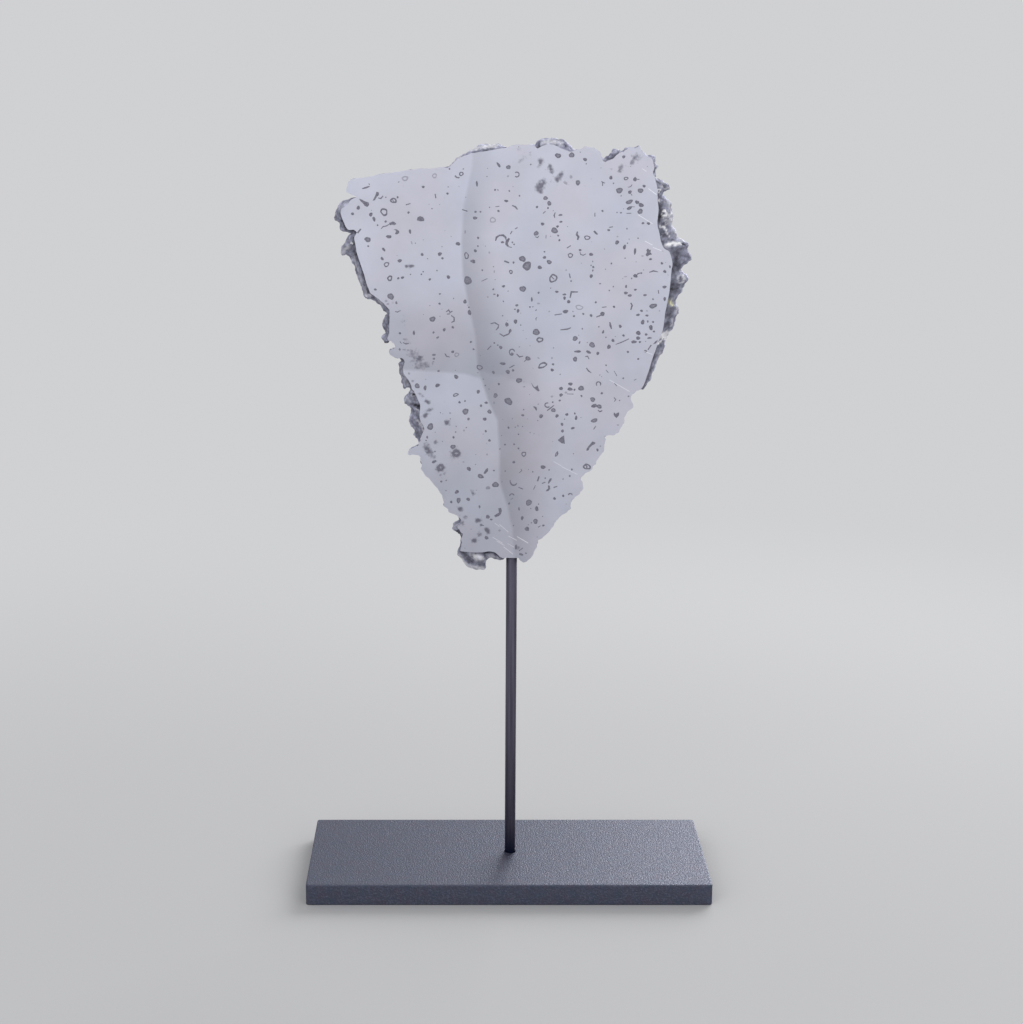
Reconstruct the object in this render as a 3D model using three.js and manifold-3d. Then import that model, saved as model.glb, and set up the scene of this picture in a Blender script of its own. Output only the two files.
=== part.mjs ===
// A polished slice of an iron meteorite, held up by a rod on a flat base plate.
// Millimetres, +Z up. The origin is the bottom centre of the base plate, and the polished face looks to -Y.

import * as THREE from 'three';
import { mergeVertices } from 'three/addons/utils/BufferGeometryUtils.js';
import Module from 'manifold-3d';

const wasm = await Module();
wasm.setup();

// Driving dimensions
const BASE_WIDTH = 178;
const BASE_DEPTH = 76;
const BASE_THICKNESS = 9.5;
const BASE_CORNER_RADIUS = 1.5;
const BASE_EDGE_BEVEL = 0.5;

const ROD_DIAMETER = 4.8;
const ROD_OFFSET = 1.2; // the rod stands this far right of the plate's centre
const ROD_FOOT_DEPTH = 6.5; // depth of the blind hole that the rod's foot stands in
const PIN_DIAMETER = 3;
const PIN_LENGTH = 10;
const SEAT_HEIGHT = 148.2; // the slice's lower edge at the rod

const SLICE_HEIGHT = 187.5; // from the tip of the foot hook to the top lobe
const SLICE_THICKNESS = 7;
const CLEARANCE = 0.3; // between pieces that meet
const ROUND_SIDES = 32; // sides of a round rod, pin or hole

// How the natural rim leaves the polished face, from the face (0) to the cut back (1)
const RIM_STEPS = [
  { depth: 0, reach: 0, undercut: 0 },
  { depth: 0.16, reach: 0.3, undercut: 0.1 },
  { depth: 0.38, reach: 0.68, undercut: 0.35 },
  { depth: 0.6, reach: 0.92, undercut: 0.65 },
  { depth: 0.8, reach: 1, undercut: 0.9 },
  { depth: 1, reach: 0.94, undercut: 1.15 },
];
const WIDEST_DEPTH = 0.8; // the step where the rim reaches its full outline
const UNDERCUT = 1.1; // how far the rim leans inwards where the face hides it
const FULL_FLARE = 1.6; // a rim that flares this far outwards has no undercut
const RIPPLE = 0.11; // height of each wave of the rim's unevenness
const RIPPLE_WAVES = [
  { alongRim: 1.7, inDepth: 5 },
  { alongRim: 0.83, inDepth: -7 },
  { alongRim: 2.9, inDepth: 11 },
];
const NORMAL_SPREAD = 3; // neighbours on each side that smooth a rim direction

// The slice was drawn from one view, in drawing units with y downwards. The eye stands in front of it.
const VIEW = {
  eye: new THREE.Vector3(-20.5, -856.4, 370),
  pitch: THREE.MathUtils.degToRad(13.27),
  focal: 2012.7,
  centre: new THREE.Vector2(461.75, 511.5),
};

// Outline as drawn, clockwise. A point is the rim's outermost place, [x, y], and where the polished
// face ends short of it, the face's own edge beside it follows: [x, y, faceX, faceY].
const UPPER_LEFT_EDGE = [
  [357, 196.6], [349, 193.5], [345.5, 192], [346.5, 187], [348, 181], [351, 178.5], [360, 177.5],
  [370, 176.5], [380, 173.5], [395, 172], [408, 169.5], [420, 168.5], [434, 168], [440, 166.5],
];
const TOP_EDGE = [
  [445, 165.5, 446, 168], [448, 164, 449, 166.5], [451, 162, 451.5, 164], [454, 158.5, 454, 161],
  [458, 155.5, 457.5, 158], [461, 153.5, 462, 156], [465, 152, 466, 154.8], [469, 149.5, 470, 153],
  [474, 147.5, 475, 152.3], [477, 145.5, 478, 151.7], [480, 144, 481, 151.5], [488, 144, 488, 150.5],
  [493, 144, 493, 149.5], [497, 142.5, 497.5, 148.5], [501, 144, 501, 148], [504, 145.5, 504.5, 147.8],
  [508, 146.5], [512, 145], [516, 144.3], [523, 144.6], [530, 144.8], [534, 143.5, 534.5, 144.8],
];
const TOP_LOBES = [
  [536.5, 141.5, 536.8, 150], [540, 138.3, 538.5, 147.5], [544, 138, 541, 146], [548, 138, 545, 144.5],
  [552, 138, 550, 144], [556, 138, 554, 144.7], [561, 139, 558, 146.5], [565, 140.5, 562, 148.8],
  [568, 143, 566, 150], [571, 145.5, 569.5, 151.5], [574, 148.5, 573, 150.8], [577, 148.8],
  [580, 148.5], [583, 146.5], [586, 145.5], [590, 146], [594, 148], [597, 150.5],
  [599.5, 153.5, 599.5, 154.5], [602, 156.5, 602, 158], [604.5, 157.5, 604, 161.5],
  [607, 157, 607, 161.5], [609, 155, 609.8, 159.5], [611, 152, 613, 157.5], [613, 150.5, 616, 154.5],
  [617, 149, 619, 152.5], [621, 149.3, 622, 151], [624, 147, 625, 148.5], [627, 145.8, 628, 147],
  [632, 145.5, 633, 146.5], [638, 145, 637.5, 146.5],
];
const UPPER_RIGHT_RIM = [
  [640, 147, 640, 149], [643, 150, 642.5, 152], [645, 153.5, 644, 155], [648, 154.5, 647, 156.5],
  [651, 154, 650, 157], [655.5, 155.5, 652.5, 159.5], [654.5, 160, 652.5, 162], [655, 163, 653, 164.5],
  [658, 166, 654, 167], [656, 168.5, 653.3, 169.5], [654.5, 170.5, 652.7, 172], [655, 174, 653.2, 175],
  [657, 177.5, 654.8, 178.5], [660, 180, 655.5, 181.5], [664, 181.5, 656, 184], [668, 183.5, 656.5, 186],
  [670, 186, 656.8, 188], [669.5, 188.5, 657, 190], [666, 190, 657, 192], [663.5, 192, 657, 194],
  [662, 195, 657, 196], [664, 198, 657.2, 199], [667, 198.5, 657.3, 201], [669, 200.5, 657.5, 203.5],
  [671, 203, 658, 206], [671.5, 207, 658, 209], [673, 212, 657.8, 213], [673.5, 216, 657.3, 217],
  [672, 221, 656.7, 221], [671.5, 225, 657, 226],
];
const RIGHT_RIM = [
  [675, 229, 658.5, 231], [676.5, 232, 659.3, 235], [677, 236, 660, 240], [680, 238.5, 661, 243],
  [685, 240.5, 662.5, 246.5], [688.5, 243, 664, 248.5], [689.5, 245, 666, 249.5],
  [687.5, 248.5, 668.5, 250.7], [689, 252, 670, 254.5], [691.5, 256, 671, 258], [692, 259, 671.6, 260.5],
  [690, 260.5, 671.9, 262.5], [686, 262.5, 672, 264.5], [682, 266, 671.5, 267], [680.5, 269.5, 671, 269.5],
  [683, 272, 670.8, 272], [686, 275, 670.5, 275], [688, 278, 670.3, 278], [686.5, 281, 670, 281],
  [683.5, 284, 669.7, 284], [682, 287, 669.3, 287.5], [681, 291, 669, 291], [678, 296, 668, 296],
  [675, 300, 667.2, 300], [674.5, 303.5, 666.5, 303.5], [678, 306, 666, 306.5], [678.5, 309, 665.2, 309.5],
  [677.5, 313, 664.5, 313], [675, 318, 664, 318], [674, 322, 663.5, 322], [673.5, 326, 663, 326],
  [671, 329, 662.3, 329.5], [668, 332.5, 661.3, 332.5], [667, 336, 660, 335.5], [665, 339.5, 659, 338.8],
  [664, 343, 657.3, 342.5], [664, 347, 656, 346.5], [662.5, 350.5, 655, 350], [659, 354.5, 653.3, 354.3],
  [655.5, 361, 651, 361], [655, 366, 649.5, 366], [653.5, 370, 648.3, 370], [651.5, 374, 647, 374],
  [650.5, 378.5, 645.5, 378.5], [647.5, 382, 644.3, 382], [645.5, 386, 642.5, 386], [642, 389.5, 640, 389],
];
const LOWER_RIGHT_EDGE = [
  [638, 390.5], [634, 392], [631.5, 395], [630.3, 398.5], [631, 401.5], [633, 403.5], [632.5, 407],
  [630, 409.5], [627, 411.5], [625, 414.5], [624, 418], [624.6, 423], [621, 428], [617, 432.3],
  [613, 434.9], [606, 435], [603.5, 436.5], [605.2, 439], [604.4, 443.5], [604, 450.5], [599.5, 456.3],
  [596, 461], [595, 464.5], [591, 468.5], [588, 470.9], [581, 476.7], [580.2, 479], [582.3, 481.8],
  [582.5, 488.8], [579, 493], [572.3, 499.1], [570.6, 504.3], [570, 508], [565.5, 512.3],
  [558.6, 516.3], [555.1, 521.5], [551.7, 528.4], [544.8, 535.3], [536.8, 541.4], [535.8, 546.8],
  [534, 552], [528.7, 558.2], [526.5, 561], [523, 562.3], [519.5, 560],
];
const SEAT_EDGE = [[518, 557.5], [512, 557.5], [505.4, 557.5]];
const FOOT_HOOK = [
  [503, 558.7, 503, 557.8], [499.5, 559.8, 499.5, 556.5], [495.4, 558.5, 497, 554],
  [491, 557, 494.5, 551.8], [487.5, 557.8, 489, 550.8], [485.3, 559.8, 486, 551.2],
  [484.6, 563.5, 483.5, 551.7], [485.8, 567.5, 481, 552], [483.5, 569.6, 478.5, 552],
  [477, 569.3, 475, 552], [470, 567.5, 471, 551.8], [465, 564.5, 467, 551.5], [462.5, 560.5, 463.5, 551.2],
  [460.5, 557, 461.3, 551], [457.3, 553.5, 459.5, 550.5], [457, 550, 459.9, 548.5],
];
const LOWER_LEFT_EDGE = [
  [459.7, 545.5, 460.6, 545.5], [460.3, 540, 461.2, 540], [460, 536, 461.5, 536],
  [459, 533, 461, 532.5], [456.5, 530.5, 459.5, 529.5], [453, 529.3, 457.5, 527.7], [452, 527, 456.5, 526],
  [454, 524, 457.5, 523.5], [457.3, 521, 459.5, 521], [458.3, 518.5, 460, 518], [456.5, 515.5],
  [453, 513.3], [449, 512], [447.7, 509], [443.8, 505], [443.2, 500.8], [441.5, 495], [437, 488],
  [430, 480.2], [424.5, 474.5], [421.7, 470], [421, 463], [419, 456], [416.5, 454], [412, 454.5],
  [409, 455.3], [407.3, 452.5], [408, 448.7], [413, 446.7], [418, 445],
];
const LEFT_RIM = [
  [418.6, 442.5, 419.3, 442.5], [416.5, 438, 420, 438], [413, 433.5, 421.5, 433.5],
  [412.5, 428, 424, 430], [410.5, 423.5, 423.3, 426], [408.5, 419.5, 421, 422.5],
  [408.5, 415.5, 419.5, 419], [410.3, 412, 419, 415], [410.5, 407.5, 419.3, 411],
  [407.5, 405, 419.8, 407], [403.6, 403.3, 419.5, 403.5], [403.8, 398, 417.5, 399.5],
  [405, 395, 416, 396], [408, 393, 414.5, 392.8], [410, 389.5, 413, 390], [408.5, 387, 411.5, 387.5],
  [406, 387, 410.3, 385], [403, 388.5, 409.5, 382.5], [401.7, 384, 408, 379.5], [401, 378, 405.5, 376.5],
  [399.5, 372, 402.8, 372.5], [397.7, 367.5, 402.4, 368.5], [397.6, 363.5, 403.2, 364.5],
  [400, 361, 404.5, 361.5], [401, 359.5, 403.5, 359.5], [398.5, 358.6, 401.5, 358],
  [394, 357.8, 396, 357.5], [390.2, 355.5], [388.5, 352.5], [389, 349.7], [393.3, 348.3], [394, 346],
  [393.5, 342.8], [391, 341.3], [387.5, 341.8, 388.5, 340.8], [384, 343.3, 387.3, 339.5],
  [381.5, 340.8, 386.8, 338.5], [380.8, 338, 387, 337], [382.5, 335.3, 388, 335],
  [384.5, 333.5, 389, 333], [384, 330.5, 388.9, 331], [382.3, 327.5, 388.8, 327.5],
  [381.7, 323, 388.9, 323], [382, 319, 389, 319], [384.5, 316, 389.2, 316], [385.8, 313, 389.5, 313],
  [384, 309.8, 388.8, 310], [380, 305, 385, 304.5], [376.1, 302.2, 380, 300.3], [371, 299, 376, 297],
];
const UPPER_LEFT_RIM = [
  [367, 298.4, 371.5, 294], [364, 297.3, 369.6, 292.5], [362.3, 292, 368.8, 290], [361.3, 286.7, 367, 286],
  [357.8, 280.5, 365.5, 281.5], [356.3, 274, 364, 275], [354.4, 267, 362, 269.5], [352, 262, 360.5, 265],
  [350.3, 258, 358.8, 260], [348.5, 255.3, 357.3, 255.5], [346, 253.3, 356, 251],
  [343.3, 255.3, 355.6, 248.5], [340.7, 256, 355.3, 246.5], [340.2, 251.5, 355, 244.5],
  [341.3, 247, 354.6, 242.5], [343.3, 243, 354.2, 240.5], [345.5, 239.5, 353.8, 238.5],
  [347.3, 235.5, 354, 236], [351, 232.7, 357, 232.3],
];
const LEFT_LOBE = [
  [346, 232.3, 353, 230.2], [341, 231, 347.8, 229.5], [339, 228.5, 346.3, 228],
  [339.5, 225, 344.8, 225.5], [339, 222, 343.5, 222], [334, 220, 342, 219], [333.5, 216.5, 340.9, 216],
  [334.3, 212.5, 340, 212.5], [335.7, 208.8, 340.5, 209.3], [338.2, 204.6, 343, 207],
  [341.2, 201.2, 347.5, 203.8], [345.3, 199.2, 349.5, 200.3], [350, 198.2, 352.5, 198.3],
];
const OUTLINE = [
  ...UPPER_LEFT_EDGE, ...TOP_EDGE, ...TOP_LOBES, ...UPPER_RIGHT_RIM, ...RIGHT_RIM, ...LOWER_RIGHT_EDGE,
  ...SEAT_EDGE, ...FOOT_HOOK, ...LOWER_LEFT_EDGE, ...LEFT_RIM, ...UPPER_LEFT_RIM, ...LEFT_LOBE,
];

// Round lumps on the rim, as drawn: centre, radius, and how far each stands out in millimetres
const LUMPS = [
  { x: 664, y: 213, radius: 7, height: 0.8 },
  { x: 671, y: 245, radius: 8, height: 0.9 },
  { x: 681, y: 278, radius: 8, height: 1 },
  { x: 669, y: 305, radius: 7, height: 0.6 },
  { x: 477, y: 561, radius: 9, height: 0.9 },
  { x: 414, y: 421, radius: 8, height: 0.6 },
  { x: 348, y: 249, radius: 8, height: 0.7 },
  { x: 556, y: 142, radius: 9, height: 0.5 },
];

// Carries a drawn point along its sight line to the upright plane at y.
function carryToPlane(drawnX, drawnY, y) {
  const u = (drawnX - VIEW.centre.x) / VIEW.focal;
  const v = (drawnY - VIEW.centre.y) / VIEW.focal;
  const ahead = Math.cos(VIEW.pitch) - v * Math.sin(VIEW.pitch);
  const drop = Math.sin(VIEW.pitch) + v * Math.cos(VIEW.pitch);
  const distance = (y - VIEW.eye.y) / ahead;
  return new THREE.Vector2(VIEW.eye.x + distance * u, VIEW.eye.z - distance * drop);
}

function depthToY(depth) {
  return (depth - 0.5) * SLICE_THICKNESS;
}

// The drawn outline as pairs of points in the plane x, z: the face's edge and the rim's outermost place.
function outlinePairs() {
  const faceY = depthToY(0);
  const widestY = depthToY(WIDEST_DEPTH);
  return OUTLINE.map(([x, y, faceX, faceDrawnY]) => {
    const flares = faceX !== undefined;
    const edge = carryToPlane(flares ? faceX : x, flares ? faceDrawnY : y, faceY);
    const rim = flares ? carryToPlane(x, y, widestY) : edge.clone();
    return { edge, rim, drawn: new THREE.Vector2(x, y) };
  });
}

// Scales the pairs to the slice's real height and sets the lower edge at the rod on the seat.
function fitPairs(pairs) {
  const heights = pairs.flatMap(({ edge, rim }) => [edge.y, rim.y]);
  const scale = SLICE_HEIGHT / (Math.max(...heights) - Math.min(...heights));
  const [seatX, seatY] = SEAT_EDGE[1];
  const seat = carryToPlane(seatX, seatY, depthToY(0));
  const fit = (point) => point.set(point.x * scale, SEAT_HEIGHT + (point.y - seat.y) * scale);
  for (const { edge, rim } of pairs) {
    fit(edge);
    fit(rim);
  }
}

// Outward direction at each outline point, smoothed over its neighbours.
function outwardDirections(points) {
  const count = points.length;
  const at = (index) => points[(index + count) % count];
  return points.map((_, index) => {
    const along = at(index + NORMAL_SPREAD).clone().sub(at(index - NORMAL_SPREAD));
    return new THREE.Vector2(-along.y, along.x).normalize();
  });
}

// Unevenness of the rim: waves along it that drift with depth and grow from zero at the polished face.
function ripple(index, depth) {
  const growth = Math.min(2 * depth, 1);
  return RIPPLE_WAVES.reduce(
    (height, wave, phase) => height + RIPPLE * growth
      * Math.sin(index * wave.alongRim + depth * wave.inDepth + phase),
    0,
  );
}

// How strongly each outline point leans inwards behind the face: 1 where the rim can't be seen.
function undercutWeights(pairs) {
  const raw = pairs.map(({ edge, rim }) => Math.max(0, 1 - edge.distanceTo(rim) / FULL_FLARE));
  const at = (index) => raw[(index + raw.length) % raw.length];
  const smooth = raw.map((value, index) => (at(index - 1) + 2 * value + at(index + 1)) / 4);
  return smooth.map((value, index) => (isSeat(pairs[index]) ? 0 : value));
}

function isSeat({ drawn }) {
  return SEAT_EDGE.some(([x, y]) => drawn.x === x && drawn.y === y);
}

function lumpHeight(point, depth) {
  const y = depthToY(depth);
  let height = 0;
  for (const lump of LUMPS) {
    const centre = carryToPlane(lump.x, lump.y, y);
    const radius = carryToPlane(lump.x + lump.radius, lump.y, y).x - centre.x;
    const nearness = Math.max(0, 1 - point.distanceToSquared(centre) / radius ** 2);
    height += lump.height * nearness;
  }
  return height;
}

// The slice's loops of points, from the polished face to the cut back. The seat on the rod stays flat.
function sliceLoops() {
  const pairs = outlinePairs();
  fitPairs(pairs);
  const outward = outwardDirections(pairs.map(({ rim }) => rim));
  const weights = undercutWeights(pairs);
  return RIM_STEPS.map(({ depth, reach, undercut }, step) => pairs.map((pair, index) => {
    const point = pair.edge.clone().lerp(pair.rim, reach);
    const isFlat = step === 0 || isSeat(pair);
    const uneven = isFlat ? 0 : ripple(index, depth) + lumpHeight(point, depth);
    point.addScaledVector(outward[index], uneven - UNDERCUT * undercut * weights[index]);
    return new THREE.Vector3(point.x, depthToY(depth), point.y);
  }));
}

// A closed body from loops with the same number of points: bands between them and a cap at each end.
function geometryFromLoops(loops) {
  const count = loops[0].length;
  const positions = loops.flat().flatMap((point) => point.toArray());
  const indices = [];
  for (let loop = 0; loop < loops.length - 1; loop++) {
    for (let index = 0; index < count; index++) {
      const next = (index + 1) % count;
      const [a, b] = [loop * count + index, loop * count + next];
      indices.push(a, b, a + count, b, b + count, a + count);
    }
  }
  const capOf = (loop, base, flip) => {
    const flat = loop.map((point) => new THREE.Vector2(point.x, point.z));
    for (const [a, b, c] of THREE.ShapeUtils.triangulateShape(flat, [])) {
      indices.push(base + a, base + (flip ? c : b), base + (flip ? b : c));
    }
  };
  capOf(loops[0], 0, false);
  capOf(loops.at(-1), (loops.length - 1) * count, true);
  const geometry = new THREE.BufferGeometry();
  geometry.setAttribute('position', new THREE.Float32BufferAttribute(positions, 3));
  geometry.setIndex(indices);
  return geometry;
}

function toSolid(geometry) {
  const bare = geometry.clone();
  bare.deleteAttribute('normal');
  bare.deleteAttribute('uv');
  const merged = mergeVertices(bare);
  return new wasm.Manifold(new wasm.Mesh({
    numProp: 3,
    vertProperties: new Float32Array(merged.attributes.position.array),
    triVerts: new Uint32Array(merged.index.array),
  }));
}

function subtract(geometry, cutter) {
  const { vertProperties, triVerts } = toSolid(geometry).subtract(toSolid(cutter)).getMesh();
  const result = new THREE.BufferGeometry();
  result.setAttribute('position', new THREE.BufferAttribute(vertProperties, 3));
  result.setIndex(new THREE.BufferAttribute(triVerts, 1));
  result.computeVertexNormals();
  return result;
}

// A round hole or post along +Z, from a height upwards, on the rod's axis.
function postOnRodAxis(diameter, bottom, top) {
  const post = new THREE.CylinderGeometry(diameter / 2, diameter / 2, top - bottom, ROUND_SIDES);
  post.rotateX(Math.PI / 2);
  post.translate(ROD_OFFSET, 0, (bottom + top) / 2);
  return post;
}

function meteoriteSlice() {
  const body = geometryFromLoops(sliceLoops());
  const pinHole = postOnRodAxis(PIN_DIAMETER + 2 * CLEARANCE, SEAT_HEIGHT - 1, SEAT_HEIGHT + PIN_LENGTH);
  const polishedIron = new THREE.MeshStandardMaterial({ color: 0xc2c2cc, roughness: 0.3, metalness: 1 });
  return namedMesh('meteorite_slice', subtract(body, pinHole), polishedIron);
}

function standRod() {
  const foot = BASE_THICKNESS - ROD_FOOT_DEPTH + CLEARANCE;
  const shoulder = SEAT_HEIGHT - CLEARANCE;
  const pinTop = SEAT_HEIGHT + PIN_LENGTH - CLEARANCE;
  const profile = [
    [0, foot], [ROD_DIAMETER / 2, foot], [ROD_DIAMETER / 2, shoulder],
    [PIN_DIAMETER / 2, shoulder], [PIN_DIAMETER / 2, pinTop], [0, pinTop],
  ].map(([radius, height]) => new THREE.Vector2(radius, height));
  const geometry = new THREE.LatheGeometry(profile, ROUND_SIDES);
  geometry.rotateX(Math.PI / 2);
  geometry.translate(ROD_OFFSET, 0, 0);
  const darkMetal = new THREE.MeshStandardMaterial({ color: 0x55525e, roughness: 0.5, metalness: 0.6 });
  return namedMesh('stand_rod', geometry, darkMetal);
}

function roundedRectangle(width, depth, radius) {
  const [x, y] = [width / 2, depth / 2];
  const shape = new THREE.Shape();
  shape.moveTo(radius - x, -y);
  shape.lineTo(x - radius, -y);
  shape.absarc(x - radius, radius - y, radius, -Math.PI / 2, 0);
  shape.lineTo(x, y - radius);
  shape.absarc(x - radius, y - radius, radius, 0, Math.PI / 2);
  shape.lineTo(radius - x, y);
  shape.absarc(radius - x, y - radius, radius, Math.PI / 2, Math.PI);
  shape.lineTo(-x, radius - y);
  shape.absarc(radius - x, radius - y, radius, Math.PI, 1.5 * Math.PI);
  return shape;
}

function standBase() {
  const plate = new THREE.ExtrudeGeometry(roundedRectangle(BASE_WIDTH, BASE_DEPTH, BASE_CORNER_RADIUS), {
    depth: BASE_THICKNESS - 2 * BASE_EDGE_BEVEL,
    bevelThickness: BASE_EDGE_BEVEL,
    bevelSize: BASE_EDGE_BEVEL,
    bevelOffset: -BASE_EDGE_BEVEL,
    bevelSegments: 2,
    curveSegments: 5,
  });
  plate.translate(0, 0, BASE_EDGE_BEVEL);
  const footHole = postOnRodAxis(
    ROD_DIAMETER + 2 * CLEARANCE, BASE_THICKNESS - ROD_FOOT_DEPTH, BASE_THICKNESS + 1,
  );
  const coatedMetal = new THREE.MeshStandardMaterial({ color: 0x3a3a46, roughness: 0.6, metalness: 0.4 });
  return namedMesh('stand_base', subtract(plate, footHole), coatedMetal);
}

function namedMesh(name, geometry, material) {
  const mesh = new THREE.Mesh(geometry, material);
  mesh.name = name;
  return mesh;
}

const part = new THREE.Group();
part.add(meteoriteSlice(), standRod(), standBase());

export default part;
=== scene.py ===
"""A polished slice of an iron meteorite on its stand: fine meshes, materials, light and camera."""

import math
import random

import bmesh
import bpy
import numpy as np
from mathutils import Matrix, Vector, noise
from mathutils.geometry import delaunay_2d_cdt


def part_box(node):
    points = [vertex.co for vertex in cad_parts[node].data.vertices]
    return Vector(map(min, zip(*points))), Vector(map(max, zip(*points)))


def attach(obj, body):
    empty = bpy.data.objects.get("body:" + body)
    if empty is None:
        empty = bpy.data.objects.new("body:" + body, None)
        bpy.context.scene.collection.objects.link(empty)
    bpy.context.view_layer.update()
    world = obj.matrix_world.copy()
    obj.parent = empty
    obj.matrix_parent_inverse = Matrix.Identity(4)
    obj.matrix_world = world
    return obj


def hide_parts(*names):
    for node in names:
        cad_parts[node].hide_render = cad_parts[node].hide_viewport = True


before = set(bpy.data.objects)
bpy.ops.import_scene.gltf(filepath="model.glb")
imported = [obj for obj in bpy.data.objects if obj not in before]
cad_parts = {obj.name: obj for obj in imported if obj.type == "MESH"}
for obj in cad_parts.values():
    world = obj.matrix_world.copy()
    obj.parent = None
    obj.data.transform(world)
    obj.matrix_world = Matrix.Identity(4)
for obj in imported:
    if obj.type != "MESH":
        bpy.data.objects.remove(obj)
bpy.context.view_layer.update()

# Sizes are in metres, and MM turns millimetres into them
MM = 0.001

# The camera, and the view in which the slice's marks were drawn. A drawn place counts units to the
# right and down from the view's top left corner. One unit on the slice is about 0.43 mm.
EYE = Vector((-20.5, -856.4, 370)) * MM
PITCH = math.radians(13.27)
FOCAL = 2012.7
DRAWN_AXIS = (461.75, 511.5)
DRAWN_SIZE = (1023, 1024)
SENSOR_WIDTH = 36

SLICE_LOW, SLICE_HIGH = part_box("meteorite_slice")
ROD_LOW, ROD_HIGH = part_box("stand_rod")
BASE_LOW, BASE_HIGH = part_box("stand_base")
FACE_Y = SLICE_LOW.y
BACK_Y = SLICE_HIGH.y
ROD_X = (ROD_LOW.x + ROD_HIGH.x) / 2
ROD_RADIUS = (ROD_HIGH.x - ROD_LOW.x) / 2
ROD_BEVEL = 0.2 * MM
PIN_LENGTH = 9.7 * MM
PIN_RADIUS = 1.5 * MM
SHOULDER_Z = ROD_HIGH.z - PIN_LENGTH
SEAT_REACH = 6.7 * MM  # from the rod's axis to the end of the flat seat that rests on the rod
SEAT_DEPTH = 0.6 * MM

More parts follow.
